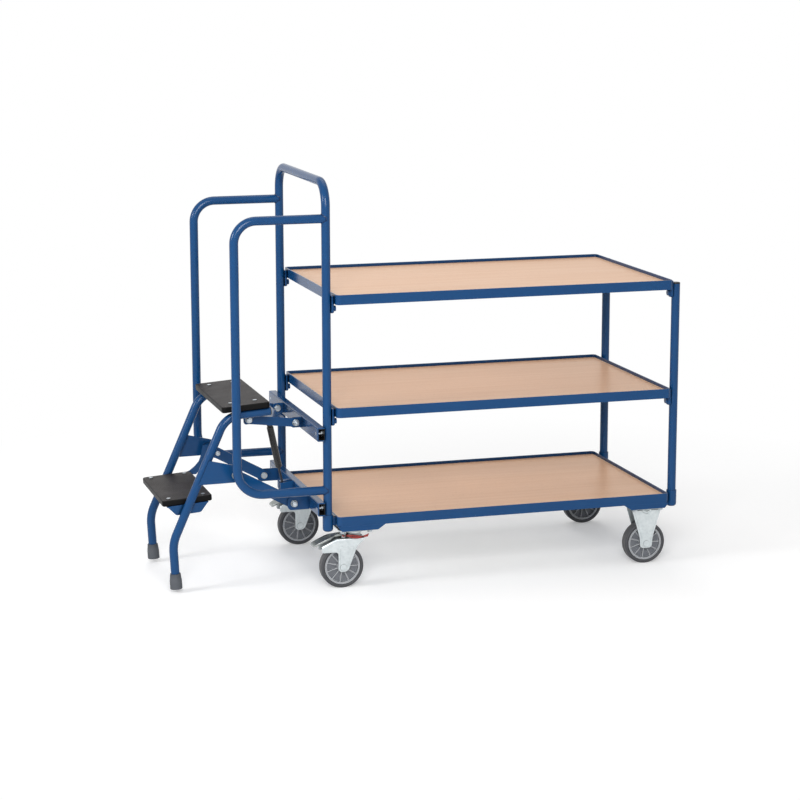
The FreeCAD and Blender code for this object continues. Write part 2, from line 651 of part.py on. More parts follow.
def channel_bolt(z):
    body = new_body(on_deck(WEB_X, f"-{POST_Y}", z))
    shank = drawing(body, "YZ_Plane")
    circle(shank, "0", "0", "channel_bolt_radius")
    pad(body, shank, "channel_depth", "One side")
    nut = drawing(body, "YZ_Plane", "channel_depth - channel_nut_height")
    hexagon(nut, "0", "0", "channel_bolt_flats")
    pad(body, nut, "channel_nut_height", "One side")
    return body


node("upper_cross_channel", cross_channel("upper_channel_z"))
node("lower_cross_channel", cross_channel("lower_channel_z"))
bolts = [channel_bolt(z) for z in ("upper_channel_z", "lower_channel_z")]
group("cross_channel_bolts", bolts + [mirrored(bolt) for bolt in bolts])


# Frame ears: plates on the channel webs that hold the links' pivots
def frame_ear(pivot_out, pivot_z, height, middle_y):
    body = new_body(on_deck(WEB_X, z=pivot_z))
    page = drawing(body, "XZ_Plane", middle_y)
    tip = f"-{pivot_out} - {height} / 2"
    low, high = f"-{height} / 2", f"{height} / 2"
    outline(page, [(tip, low), ("0", low), ("0", high), (tip, high)])
    pad(body, page, "ear_wall")
    hole = drawing(body, "XZ_Plane", middle_y)
    circle(hole, f"-{pivot_out}", "0", PIN_HOLE)
    pocket(body, hole, "ear_wall + 2 * overrun")
    soften(body, [(tip, low), (tip, high)], f"{height} * ear_round_share")
    return body


UPPER_EAR_Y = "upper_link_y - upper_link_wall / 2 - side_gap - ear_wall / 2"
SIDE_PLATE_Y = "leg_y + tube_diameter / 2 + weld_gap + ear_wall / 2"
LOWER_LINK_Y = f"{SIDE_PLATE_Y} - ear_wall / 2 - side_gap - lower_link_wall / 2"
both_sides("upper_link_ears", frame_ear("upper_pivot_out", "upper_pivot_z", "upper_ear_height", UPPER_EAR_Y))
both_sides("lower_link_ears", frame_ear("lower_pivot_out", "lower_pivot_z", "lower_ear_height", SIDE_PLATE_Y))


# Pivot bolts: washer and hexagon outside, shank through both plates, nut inside
def pivot_bolt(frame, across, outer_y, inner_y):
    body = new_body(frame)
    shank = drawing(body, "XZ_Plane", inner_y)
    circle(shank, across, "0", "link_pin_radius")
    pad(body, shank, f"{outer_y} - ({inner_y})", "One side")
    for lift, back in ((outer_y, False), (inner_y, True)):
        washer = drawing(body, "XZ_Plane", lift)
        circle(washer, across, "0", "washer_radius")
        pad(body, washer, "washer_wall", "One side", back)
        head = drawing(body, "XZ_Plane", lift)
        hexagon(head, across, "0", "link_pin_flats")
        pad(body, head, "washer_wall + link_pin_head", "One side", back)
    return body


# Upper link: two cheeks and a web folded from one sheet, with lugs for the gas spring
def upper_link():
    body = new_body(UPPER_FRAME)
    half = "upper_link_height / 2"
    for lift in ("upper_link_y", "-upper_link_y"):
        cheek = drawing(body, "XZ_Plane", lift)
        slot(cheek, "-upper_link_length", "0", half)
        pad(body, cheek, "upper_link_wall")
    web = drawing(body, "XZ_Plane")
    low = f"{half} - upper_link_wall"
    outline(web, [("-yoke_web_end", low), ("-yoke_web_start", low),
                  ("-yoke_web_start", half), ("-yoke_web_end", half)])
    body.AllowCompound = True
    pad(body, web, "2 * upper_link_y - upper_link_wall + 2 * weld_gap")
    lug_y = "(gas_eye_width / 2 + side_gap + ear_wall / 2)"
    for lift in (lug_y, f"-{lug_y}"):
        lug = drawing(body, "XZ_Plane", lift)
        left, right = f"{GAS_TOP[0]} - gas_lug_radius", f"{GAS_TOP[0]} + gas_lug_radius"
        foot = f"{GAS_TOP[1]} - gas_lug_radius"
        outline(lug, [(left, foot), (right, foot), (right, f"{half} - upper_link_wall / 2"),
                      (left, f"{half} - upper_link_wall / 2")])
        pad(body, lug, "ear_wall")
    gas_pin = drawing(body, "XZ_Plane")
    circle(gas_pin, *GAS_TOP, "gas_pin_radius")
    pad(body, gas_pin, "gas_eye_width + 2 * side_gap + ear_wall")
    holes = drawing(body, "XZ_Plane")
    circle(holes, "0", "0", PIN_HOLE)
    circle(holes, "-upper_link_length", "0", PIN_HOLE)
    pocket(body, holes, "2 * (upper_link_y + upper_link_wall)")
    return body


node("upper_link_yoke", upper_link())
upper_inner = f"{UPPER_EAR_Y} - ear_wall / 2 - side_gap"
upper_outer = "upper_link_y + upper_link_wall / 2"
bolts = [pivot_bolt(UPPER_FRAME, across, upper_outer, upper_inner) for across in ("0", "-upper_link_length")]
group("upper_link_bolts", bolts + [mirrored(bolt) for bolt in bolts])


# Lower links: a flat bar on each side
def lower_link():
    body = new_body(LOWER_FRAME)
    page = drawing(body, "XZ_Plane", LOWER_LINK_Y)
    slot(page, "-lower_link_length", "0", "lower_link_height / 2")
    circle(page, "0", "0", PIN_HOLE)
    circle(page, "-lower_link_length", "0", PIN_HOLE)
    pad(body, page, "lower_link_wall")
    return body


both_sides("lower_links", lower_link())
lower_inner = f"{LOWER_LINK_Y} - lower_link_wall / 2"
lower_outer = f"{SIDE_PLATE_Y} + ear_wall / 2 + side_gap"
bolts = [pivot_bolt(LOWER_FRAME, across, lower_outer, lower_inner) for across in ("0", "-lower_link_length")]
group("lower_link_bolts", bolts + [mirrored(bolt) for bolt in bolts])


# Step unit: two bent legs, two trays, two boards and two side plates, hung on the links
LEG_PATH = [("leg_start", "leg_rise"), ("-leg_knee_back", "leg_rise"),
            ("-leg_ankle_back", "-leg_ankle_drop"), ("-leg_end_back", "-leg_end_drop")]


def step_leg():
    frame = (STEP_FRAME[0], "-leg_y", *STEP_FRAME[2:])
    return bent_tube(frame, "XZ_Plane", LEG_PATH, ["leg_knee_radius", "leg_ankle_radius"],
                     "YZ_Plane", "leg_start", ("0", "leg_rise"))


node("front_step_leg", step_leg())
node("rear_step_leg", mirrored(NODES[-1]))


def step_foot():
    """A rubber cup on the leg's end, in line with the leg's lower run."""
    lean = "atan((leg_end_back - leg_ankle_back) / (leg_end_drop - leg_ankle_drop))"
    turn = f"(step_tilt - {lean} / 1deg)"
    drop_x = "-leg_end_back * cos(step_tilt) + leg_end_drop * sin(step_tilt)"
    drop_z = "-leg_end_back * sin(step_tilt) - leg_end_drop * cos(step_tilt)"
    body = doc.addObject("PartDesign::Body", "Body")
    spin = FreeCAD.Units.Quantity(sheet.evalExpression(turn)).Value
    body.Placement = Placement(Vector(), Rotation(Vector(0, math.copysign(1, -spin), 0), abs(spin)))
    bind(body, "Placement.Base.x", f"deck_centre_x + {STEP_X} + {drop_x}")
    bind(body, "Placement.Base.y", "-leg_y")
    bind(body, "Placement.Base.z", f"{STEP_Z} + {drop_z}")
    bind(body, "Placement.Rotation.Angle", f"abs({turn})")
    page = drawing(body, "XZ_Plane")
    bore = "tube_diameter / 2 + weld_gap"
    neck = "tube_diameter / 2 + (foot_radius - tube_diameter / 2) / 2"
    sole = "foot_cover - foot_height"
    outline(page, [("0", sole), ("foot_radius", sole), ("foot_radius", f"{sole} / 2"), (neck, "foot_cover"),
                   (bore, "foot_cover"), (bore, "-weld_gap"), ("0", "-weld_gap")])
    feature = lathe(body, page)
    feature.ReferenceAxis = (page, ["V_Axis"])
    return body


both_sides("step_feet", step_foot())


def step_board(name, right, depth, half, top, inset, end):
    """A board with a hole for a screw near each corner."""
    body = new_body(STEP_FRAME)
    page = drawing(body, "XY_Plane", f"{top} - step_thickness")
    rounded(page, (f"{right} - {depth}", f"-{half}"), (right, half), "step_corner_radius")
    spots = [(x, y) for x in (f"{right} - {inset}", f"{right} - {depth} + {inset}")
             for y in (f"{half} - {end}", f"-{half} + {end}")]
    for spot in spots:
        circle(page, *spot, "screw_radius + fit_gap")
    pad(body, page, "step_thickness", "One side")
    node(name, body)
    screws = []
    for spot in spots:
        screw = new_body(STEP_FRAME)
        shank = drawing(screw, "XY_Plane", top)
        circle(shank, *spot, "screw_radius")
        pad(screw, shank, "step_thickness", "One side", back=True)
        dome = drawing(screw, "XY_Plane", top)
        circle(dome, *spot, "screw_head_radius")
        pad(screw, dome, "screw_head_height", "One side")
        screws.append(screw)
    return screws


UPPER_SEAT = "(leg_rise + tube_diameter / 2 + weld_gap)"
UPPER_TOP = f"({UPPER_SEAT} + step_thickness)"
LOWER_SEAT = "(-lower_step_drop - step_thickness)"
step_screws = step_board("upper_step", "upper_step_front", "upper_step_depth", "upper_step_half", UPPER_TOP,
                         "upper_screw_inset", "upper_screw_end")
step_screws += step_board("lower_step", "-lower_step_front", "lower_step_depth", "lower_step_half",
                          "-lower_step_drop", "lower_screw_inset", "lower_screw_inset")
group("step_screws", step_screws)


def upper_tray():
    """A folded plate between the legs with two ears round the upper link's pivot."""
    body = new_body(STEP_FRAME)
    plate = drawing(body, "XZ_Plane")
    left = "upper_tray_front - upper_tray_length"
    low = f"{UPPER_SEAT} - tray_wall"
    right = "upper_tray_front"
    outline(plate, [(left, low), (right, low), (right, UPPER_SEAT), (left, UPPER_SEAT)])
    pad(body, plate, "2 * (leg_y - tube_diameter / 2 - weld_gap)")
    foot = "-step_ear_radius"
    ear_right = "step_ear_radius"
    for lift in (UPPER_EAR_Y, f"-({UPPER_EAR_Y})"):
        ear = drawing(body, "XZ_Plane", lift)
        outline(ear, [(foot, foot), (ear_right, foot), (ear_right, UPPER_SEAT), (foot, UPPER_SEAT)])
        pad(body, ear, "ear_wall")
    hole = drawing(body, "XZ_Plane")
    circle(hole, "0", "0", PIN_HOLE)
    pocket(body, hole, "2 * upper_link_y")
    soften(body, [(foot, foot), (ear_right, foot)], "step_ear_radius / 2")
    return body


node("upper_step_tray", upper_tray())


def lower_tray():
    """A plate under the lower step with a sloping cheek welded to each leg."""
    body = new_body(STEP_FRAME)
    half = "(leg_y - tube_diameter / 2 - weld_gap)"
    right = "-lower_tray_front"
    left = "-lower_tray_front - lower_tray_length"
    plate = drawing(body, "XZ_Plane")
    low = f"{LOWER_SEAT} - tray_wall"
    outline(plate, [(left, low), (right, low), (right, LOWER_SEAT), (left, LOWER_SEAT)])
    pad(body, plate, f"2 * {half}")
    foot = f"{LOWER_SEAT} - lower_tray_depth"
    feet = [(f"{left} + lower_tray_slope", foot), (f"{right} - lower_tray_slope", foot)]
    for lift in (f"{half} - tray_wall / 2", f"-({half} - tray_wall / 2)"):
        cheek = drawing(body, "XZ_Plane", lift)
        outline(cheek, [*feet, (right, LOWER_SEAT), (left, LOWER_SEAT)])
        pad(body, cheek, "tray_wall")
    soften(body, feet, "lower_tray_slope / 2")
    return body


node("lower_step_tray", lower_tray())


def leg_line(drop):
    """Where the sloping run of a leg lies at a given depth below the pivot."""
    slope = "(leg_ankle_back - leg_knee_back) / (leg_ankle_drop + leg_rise)"
    return f"(-leg_knee_back - ({drop} + leg_rise) * {slope})"


def side_plate():
    body = new_body(STEP_FRAME)
    page = drawing(body, "XZ_Plane", SIDE_PLATE_Y)
    tip_right = f"{TIP[0]} + plate_tip_radius"
    tip_low, tip_high = f"{TIP[1]} - plate_tip_radius", f"{TIP[1]} + plate_tip_radius"
    outline(page, [(leg_line("plate_top_drop"), "-plate_top_drop"),
                   (leg_line("plate_low_drop"), "-plate_low_drop"),
                   (tip_right, tip_low), (tip_right, tip_high)])
    pad(body, page, "ear_wall")
    hole = drawing(body, "XZ_Plane", SIDE_PLATE_Y)
    circle(hole, *TIP, "link_pin_radius + open_pivot_gap")
    pocket(body, hole, "ear_wall + 2 * overrun")
    soften(body, [(tip_right, tip_low), (tip_right, tip_high)], "plate_tip_radius * plate_round_share")
    return body


both_sides("step_side_plates", side_plate())


# Gas spring: the rod turns on a bracket of the lower channel, the cylinder pushes the upper link up
def gas_bracket():
    body = new_body(on_deck(WEB_X, z="gas_pivot_z"))
    low, high = "-gas_bracket_height / 2", "gas_bracket_height / 2"
    back = drawing(body, "XZ_Plane")
    outline(back, [("-sheet", low), ("0", low), ("0", high), ("-sheet", high)])
    reach = "gas_eye_width / 2 + side_gap + ear_wall"
    pad(body, back, f"2 * ({reach})")
    for lift in (f"{reach} - ear_wall / 2", f"-({reach} - ear_wall / 2)"):
        lug = drawing(body, "XZ_Plane", lift)
        tip = "-gas_bracket_out - gas_lug_radius"
        outline(lug, [(tip, "-gas_lug_radius"), ("0", low), ("0", high), (tip, "gas_lug_radius")])
        pad(body, lug, "ear_wall")
    gas_pin = drawing(body, "XZ_Plane")
    circle(gas_pin, "-gas_bracket_out", "0", "gas_pin_radius")
    pad(body, gas_pin, f"2 * ({reach})")
    return body


def gas_rod():
    body = new_body(GAS_FRAME)
    eye = drawing(body, "XZ_Plane")
    circle(eye, "0", "0", "gas_eye_radius")
    pad(body, eye, "gas_eye_width")
    rod = drawing(body, "XY_Plane")
    circle(rod, "0", "0", "gas_rod_radius")
    pad(body, rod, "gas_rod_end", "One side")
    hole = drawing(body, "XZ_Plane")
    circle(hole, "0", "0", "gas_pin_radius + fit_gap")
    pocket(body, hole, "gas_eye_width + 2 * overrun")
    return body


def gas_cylinder():
    body = new_body(GAS_FRAME)
    tube = drawing(body, "XY_Plane", "gas_body_start")
    circle(tube, "0", "0", "gas_body_radius")
    pad(body, tube, "gas_body_end - gas_body_start", "One side")
    neck = drawing(body, "XY_Plane", "gas_body_end")
    circle(neck, "0", "0", "gas_rod_radius")
    pad(body, neck, "gas_length - gas_body_end", "One side")
    eye = drawing(body, "XZ_Plane")
    circle(eye, "0", "gas_length", "gas_eye_radius")
    pad(body, eye, "gas_eye_width")
    hole = drawing(body, "XZ_Plane")
    circle(hole, "0", "gas_length", "gas_pin_radius + open_pivot_gap")
    pocket(body, hole, "gas_eye_width + 2 * overrun")
    bore = drawing(body, "XY_Plane", "gas_body_start - overrun")
    circle(bore, "0", "0", "gas_rod_radius + fit_gap")
    cut = pocket(body, bore, "gas_body_end - gas_body_start", "One side")
    cut.Reversed = True
    return body


node("gas_spring_bracket", gas_bracket())
node("gas_spring_rod", gas_rod())
node("gas_spring_cylinder", gas_cylinder())

# Casters: places of the bolts, shared by plates and bolts
BOLT_SPOTS = [(f"{x} * caster_bolt_spacing_x / 2", f"{y} * caster_bolt_spacing_y / 2")
              for x in (-1, 1) for y in (-1, 1)]
CASTER_X = "(shelf_length / 2 - caster_inset_x)"
CASTER_Y = "(shelf_width / 2 - caster_inset_y)"
SIDES = (("front", f"(-{CASTER_Y})"), ("rear", CASTER_Y))
PLATE_LOW = "caster_height - caster_plate_thickness"


def caster_plate(body, center_hole):
    page = drawing(body, "XY_Plane", PLATE_LOW)
    half = ("caster_plate_length / 2", "caster_plate_width / 2")
    rounded(page, tuple(f"-{formula}" for formula in half), half, "shelf_corner_radius")
    for spot in BOLT_SPOTS:
        circle(page, *spot, "caster_bolt_radius + fit_gap")
    if center_hole:
        circle(page, "0", "0", "kingpin_radius + fit_gap")
    pad(body, page, "caster_plate_thickness", "One side")


def caster_bolts(x, y):
    made = []
    for spot in BOLT_SPOTS:
        body = new_body(on_deck(x, y, PLATE_LOW))
        shank = drawing(body, "XY_Plane")
        circle(shank, *spot, "caster_bolt_radius")
        pad(body, shank, "caster_plate_thickness", "One side")
        head = drawing(body, "XY_Plane")
        hexagon(head, *spot, "caster_bolt_flats")
        pad(body, head, "caster_bolt_head", "One side", back=True)
        made.append(body)
    return made


def wheel(name, x, y):
    """Rim with ribs and the tyre on it, turned about the axle."""
    frame = on_deck(x, y, "wheel_diameter / 2")
    ring = "(wheel_diameter / 2 - tyre_depth - weld_gap)"
    inner = f"({ring} - rim_ring_wall)"
    body = new_body(frame)
    page = drawing(body, "YZ_Plane")
    bore = "axle_radius + fit_gap"
    half_hub, half_web, half_ring = "hub_width / 2", "rim_web_wall / 2", "rim_ring_width / 2"
    profile = [(half_hub, bore), (half_hub, "hub_radius"), (half_web, "hub_radius"), (half_web, inner),
               (half_ring, inner), (half_ring, ring)]
    outline(page, profile + [(f"-{across}", up) for across, up in reversed(profile)])
    lathe(body, page)
    rib_page = drawing(body, "XZ_Plane")
    start, end = "hub_radius - rib_wall", f"{inner} + rib_wall"
    low, high = "-rib_wall / 2", "rib_wall / 2"
    outline(rib_page, [(start, low), (end, low), (end, high), (start, high)])
    rib = pad(body, rib_page, "rib_width")
    ribs = body.newObject("PartDesign::PolarPattern", "Ribs")
    ribs.Originals = [rib]
    ribs.Axis = (rib_page, ["N_Axis"])
    ribs.Angle = 360
    bind(ribs, "Occurrences", "rib_count")
    body.Tip = ribs
    node(f"{name}_rim", body)
    tyre = new_body(frame)
    page = drawing(tyre, "YZ_Plane")
    rounded(page, ("-tyre_width / 2", "wheel_diameter / 2 - tyre_depth"),
            ("tyre_width / 2", "wheel_diameter / 2"), "tyre_edge_radius")
    lathe(tyre, page)
    node(f"{name}_tyre", tyre)


def axle(x, y):
    body = new_body(on_deck(x, y, "wheel_diameter / 2"))
    half = "(fork_gap / 2 + fork_wall)"
    shank = drawing(body, "XZ_Plane")
    circle(shank, "0", "0", "axle_radius")
    pad(body, shank, f"2 * {half}")
    for lift, back in ((half, False), (f"-{half}", True)):
        head = drawing(body, "XZ_Plane", lift)
        circle(head, "0", "0", "axle_head_radius")
        pad(body, head, "axle_head_height", "One side", back)
    return body


def fork_legs(body, corners, crown_z, axle_x):
    """A block with the leg's outline, hollowed below the crown for the wheel and bored for the axle."""
    page = drawing(body, "XZ_Plane")
    outline(page, corners)
    pad(body, page, "fork_gap + 2 * fork_wall")
    space = drawing(body, "XZ_Plane")
    wide = "caster_plate_length"
    outline(space, [(f"{axle_x} - {wide}", "-overrun"), (f"{axle_x} + {wide}", "-overrun"),
                    (f"{axle_x} + {wide}", crown_z), (f"{axle_x} - {wide}", crown_z)])
    pocket(body, space, "fork_gap")
    hole = drawing(body, "XZ_Plane")
    circle(hole, axle_x, "wheel_diameter / 2", "axle_radius + fit_gap")
    pocket(body, hole, "fork_gap + 2 * (fork_wall + overrun)")
    soften(body, corners[:2], "fork_tip_radius * fork_round_share")


FORK_LOW = "wheel_diameter / 2 - fork_tip_radius"
CROWN_TOP = "(fork_crown_z + fork_crown_wall)"
RELEASE_DIP_SHARES = (0.4, 0.65)
PEDAL_PIN = ("(-pedal_pivot_back)", f"({CROWN_TOP} + pedal_pivot_rise)")


def swivel_fork(y):
    body = new_body(on_deck(f"(-{CASTER_X})", y))
    skirt_z = "wheel_diameter / 2 + skirt_low"
    nose = "bearing_radius + kingpin_radius"
    corners = [("-trail - fork_tip_radius", FORK_LOW), ("-trail + fork_tip_radius", FORK_LOW),
               ("kingpin_radius", "fork_crown_z - trail / 2"), (nose, "fork_crown_z"), (nose, CROWN_TOP),
               ("-trail - crown_back", CROWN_TOP),
               ("-trail - skirt_reach", f"{skirt_z} + skirt_end"), ("-trail - skirt_reach", skirt_z),
               ("-trail - fork_tip_radius", skirt_z)]
    fork_legs(body, corners, "fork_crown_z", "-trail")
    bearing = drawing(body, "XY_Plane", CROWN_TOP)
    circle(bearing, "0", "0", "bearing_radius")
    pad(body, bearing, f"{PLATE_LOW} - side_gap - fork_crown_z - fork_crown_wall", "One side")
    kingpin = drawing(body, "XY_Plane", CROWN_TOP)
    circle(kingpin, "0", "0", "kingpin_radius")
    pad(body, kingpin, "caster_height - fork_crown_z - fork_crown_wall - side_gap", "One side")
    lug_y = "pedal_neck_width / 2 + side_gap + lug_wall / 2"
    lug_half = "pedal_hub_radius"
    for lift in (lug_y, f"-({lug_y})"):
        lug = drawing(body, "XZ_Plane", lift)
        left, right = f"{PEDAL_PIN[0]} - {lug_half}", f"{PEDAL_PIN[0]} + {lug_half}"
        top = f"{PEDAL_PIN[1]} + {lug_half}"
        outline(lug, [(left, "fork_crown_z"), (right, "fork_crown_z"), (right, top), (left, top)])
        pad(body, lug, "lug_wall")
    hole = drawing(body, "XZ_Plane")
    circle(hole, *PEDAL_PIN, "pedal_pin_radius + fit_gap")
    pocket(body, hole, "pedal_neck_width + 2 * (side_gap + lug_wall + overrun)")
    return body


def brake_pedal(y):
    """A foot plate that slopes down from its pin, wider past the fork's lugs."""
    body = new_body(on_deck(f"(-{CASTER_X})", y))
    boss = drawing(body, "XZ_Plane")
    circle(boss, *PEDAL_PIN, "pedal_hub_radius")
    pad(body, boss, "pedal_neck_width")
    pin = drawing(body, "XZ_Plane")
    circle(pin, *PEDAL_PIN, "pedal_pin_radius")
    pad(body, pin, "pedal_neck_width + 2 * (side_gap + lug_wall)")
    pin_end = drawing(body, "XZ_Plane")
    circle(pin_end, *PEDAL_PIN, "pedal_pin_radius")
    pad(body, pin_end, "release_y + release_wall / 2", "One side")
    tip = (f"{PEDAL_PIN[0]} - pedal_length", f"{PEDAL_PIN[1]} - pedal_drop")
    bend = (f"{PEDAL_PIN[0]} - pedal_length * pedal_bend_share",
            f"{PEDAL_PIN[1]} - pedal_drop * pedal_neck_share")
    half = "pedal_thickness / 2"
    neck = drawing(body, "XZ_Plane")
    outline(neck, [(PEDAL_PIN[0], f"{PEDAL_PIN[1]} - {half}"), (PEDAL_PIN[0], f"{PEDAL_PIN[1]} + {half}"),
                   (bend[0], f"{bend[1]} + {half}"), (bend[0], f"{bend[1]} - {half}")])
    pad(body, neck, "pedal_neck_width")
    plate = drawing(body, "XZ_Plane")
    outline(plate, [(bend[0], f"{bend[1]} - {half}"), (bend[0], f"{bend[1]} + {half}"),
                    (tip[0], f"{tip[1]} + {half}"), (tip[0], f"{tip[1]} - {half}")])
    pad(body, plate, "pedal_width")
    return body


def brake_release(y):
    """The red arm on the end of the pedal's pin, which lifts the pedal when stepped on."""
    body = new_body(on_deck(f"(-{CASTER_X})", y))
    page = drawing(body, "XZ_Plane", "release_y")
    half = "release_height / 2"
    left, arm_end = f"{PEDAL_PIN[0]} - release_height", f"{PEDAL_PIN[0]} + release_length"
    dip_from, dip_to = (f"{PEDAL_PIN[0]} + release_length * {share}" for share in RELEASE_DIP_SHARES)
    spine = [(left, PEDAL_PIN[1]), (f"{PEDAL_PIN[0]} + release_height", PEDAL_PIN[1]),
             (dip_from, f"{PEDAL_PIN[1]} - release_dip"), (dip_to, f"{PEDAL_PIN[1]} - release_dip"),
             (arm_end, f"{PEDAL_PIN[1]} - release_drop")]
    under = [(x, f"{z} - {half}") for x, z in spine]
    over = [(x, f"{z} + {half}") for x, z in reversed(spine)]
    outline(page, under + over)
    circle(page, *PEDAL_PIN, "pedal_pin_radius + fit_gap")
    pad(body, page, "release_wall")
    return body


def fixed_fork(y):
    body = new_body(on_deck(CASTER_X, y))
    top = "fixed_fork_top / 2"
    shoulder = "wheel_diameter / 2 + fork_tip_radius"
    foot = "fixed_fork_foot / 2"
    corners = [(f"-{foot}", FORK_LOW), (foot, FORK_LOW), (foot, shoulder),
               (top, PLATE_LOW), (f"-{top}", PLATE_LOW), (f"-{foot}", shoulder)]
    fork_legs(body, corners, PLATE_LOW, "0")
    notch = drawing(body, "XZ_Plane")
    circle(notch, "0", PLATE_LOW, "fixed_fork_notch")
    pocket(body, notch, "fork_gap + 2 * (fork_wall + overrun)")
    body.AllowCompound = True
    caster_plate(body, False)
    return body


plates = []
caster_bolt_set = []
fixed_axles = []
for side, caster_line in SIDES:
    wheel_x = f"(-{CASTER_X} - trail)"
    node(f"{side}_swivel_fork", swivel_fork(caster_line))
    node(f"{side}_swivel_axle", axle(wheel_x, caster_line))
    wheel(f"{side}_swivel", wheel_x, caster_line)
    node(f"{side}_brake_pedal", brake_pedal(caster_line))
    node(f"{side}_brake_release", brake_release(caster_line))
    node(f"{side}_fixed_fork", fixed_fork(caster_line))
    wheel(f"{side}_fixed", CASTER_X, caster_line)
    fixed_axles.append(axle(CASTER_X, caster_line))
    swivel_plate = new_body(on_deck(f"(-{CASTER_X})", caster_line))
    caster_plate(swivel_plate, True)
    plates.append(swivel_plate)
    for caster_place in (f"(-{CASTER_X})", CASTER_X):
        caster_bolt_set += caster_bolts(caster_place, caster_line)
group("swivel_plates", plates)
group("fixed_axles", fixed_axles)
group("caster_bolts", caster_bolt_set)

# Every object has to be sound before any file is written
doc.recompute()
for item in doc.Objects:
    if "Invalid" in item.State or "Error" in item.State:
        raise RuntimeError(f"{item.Name} ({item.Label}) could not be built: {item.State}")
for item in NODES:
    if item.Shape.isNull() or not item.Shape.isValid():
        raise RuntimeError(f"{item.Label} has no sound shape")

os.makedirs("parts", exist_ok=True)
for item in NODES:
    item.Shape.exportStep(os.path.join("parts", item.Label + ".step"))
    print(item.Label, len(item.Shape.Solids), round(item.Shape.Volume))
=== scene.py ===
import json
from math import atan2, pi, radians, sin, sqrt

import bmesh
import bpy
from mathutils import Matrix, Vector

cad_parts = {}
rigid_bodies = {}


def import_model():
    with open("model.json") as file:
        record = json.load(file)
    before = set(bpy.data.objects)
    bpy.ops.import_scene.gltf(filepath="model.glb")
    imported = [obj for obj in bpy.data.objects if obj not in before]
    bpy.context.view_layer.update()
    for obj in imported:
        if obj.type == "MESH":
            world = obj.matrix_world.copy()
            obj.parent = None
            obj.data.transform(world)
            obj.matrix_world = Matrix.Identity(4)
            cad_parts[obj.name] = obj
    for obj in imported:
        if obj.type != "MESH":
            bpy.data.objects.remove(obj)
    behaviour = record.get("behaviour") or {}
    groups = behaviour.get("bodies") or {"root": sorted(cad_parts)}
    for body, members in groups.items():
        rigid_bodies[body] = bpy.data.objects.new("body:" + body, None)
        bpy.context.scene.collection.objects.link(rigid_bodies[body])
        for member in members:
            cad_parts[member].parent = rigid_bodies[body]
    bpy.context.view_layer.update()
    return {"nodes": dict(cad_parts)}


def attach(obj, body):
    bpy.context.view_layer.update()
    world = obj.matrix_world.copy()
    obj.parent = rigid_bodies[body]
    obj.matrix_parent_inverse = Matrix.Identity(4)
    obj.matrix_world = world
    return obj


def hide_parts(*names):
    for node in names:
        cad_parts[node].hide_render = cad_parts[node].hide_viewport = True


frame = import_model()
bpy.ops.object.select_all(action="DESELECT")


# Base. A frame of rolled steel angle with rounded, welded corners stands on two folded
# steel channels that carry the casters; a sleeve for each post is welded to its ends.
# All of it is powder coated blue: satin, slightly pebbled, thin and paler on the edges;
# painted shade darkens it in its corners and nooks.
MM = 0.001


def linear(hex_colour):
    """An sRGB hex colour as linear red, green, blue and alpha."""
    parts = [int(hex_colour[i:i + 2], 16) / 255 for i in (1, 3, 5)]
    return tuple(p / 12.92 if p <= 0.04045 else ((p + 0.055) / 1.055) ** 2.4 for p in parts) + (1.0,)


def add_node(tree, kind, inputs=None, **settings):
    """One shader node with its settings; each input takes a value or another node's output."""
    made = tree.nodes.new(kind)
    for name, value in settings.items():
        setattr(made, name, value)
    for name, value in (inputs or {}).items():
        if isinstance(value, bpy.types.NodeSocket):
            tree.links.new(value, made.inputs[name])
        else:
            made.inputs[name].default_value = value
    return made


def own_place(tree):
    """Places in the piece's own axes."""
    return add_node(tree, "ShaderNodeTexCoord").outputs["Object"]


def facing(tree):
    """The way that the surface faces."""
    return add_node(tree, "ShaderNodeNewGeometry").outputs["Normal"]


def noise(tree, size, detail, distortion=0.0):
    """Clouds of one size in millimetres, or of a size along each axis."""
    sizes = size if isinstance(size, tuple) else (size,) * 3
    scaled = add_node(tree, "ShaderNodeMapping",
                      {"Vector": own_place(tree), "Scale": tuple(1 / (s * MM) for s in sizes)})
    return add_node(tree, "ShaderNodeTexNoise",
                    {"Vector": scaled.outputs["Vector"], "Scale": 1.0, "Detail": detail,
                     "Distortion": distortion}).outputs["Fac"]


def blend(tree, share, low, high, **settings):
    """A colour that goes over into another; each is a hex colour or another node's output."""
    low, high = (linear(c) if isinstance(c, str) else c for c in (low, high))
    mixed = add_node(tree, "ShaderNodeMix", {0: share, 6: low, 7: high}, data_type="RGBA", **settings)
    return mixed.outputs[2]


def span(tree, value, to=(0.0, 1.0), over=(0.0, 1.0)):
    """A value taken from one range into another and held at its ends."""
    return add_node(tree, "ShaderNodeMapRange",
                    {"Value": value, "From Min": over[0], "From Max": over[1],
                     "To Min": to[0], "To Max": to[1]}).outputs["Result"]


def rounded(tree, radius):
    """Normals that run softly over the edges, within a radius in millimetres."""
    return add_node(tree, "ShaderNodeBevel", {"Radius": radius * MM}, samples=4).outputs["Normal"]


def on_edges(tree, soft_normal, full_at, most):
    """Nothing on flat faces, and most where the softened normal leaves the face's own."""
    meet = add_node(tree, "ShaderNodeVectorMath", {0: soft_normal, 1: facing(tree)}, operation="DOT_PRODUCT")
    return span(tree, meet.outputs["Value"], (0.0, most), (0.98, full_at))


def in_the_open(tree, distance, over, samples=6):
    """A mask for painted shade: nothing deep in a corner, one on an open face; the distance is in
    millimetres.
    """
    nook = add_node(tree, "ShaderNodeAmbientOcclusion", {"Distance": distance * MM}, samples=samples)
    return span(tree, nook.outputs["AO"], over=over)


def bump(tree, height, strength, distance, **more):
    """Fine relief, its depth in millimetres."""
    inputs = {"Height": height, "Strength": strength, "Distance": distance * MM, **more}
    return add_node(tree, "ShaderNodeBump", inputs).outputs["Normal"]


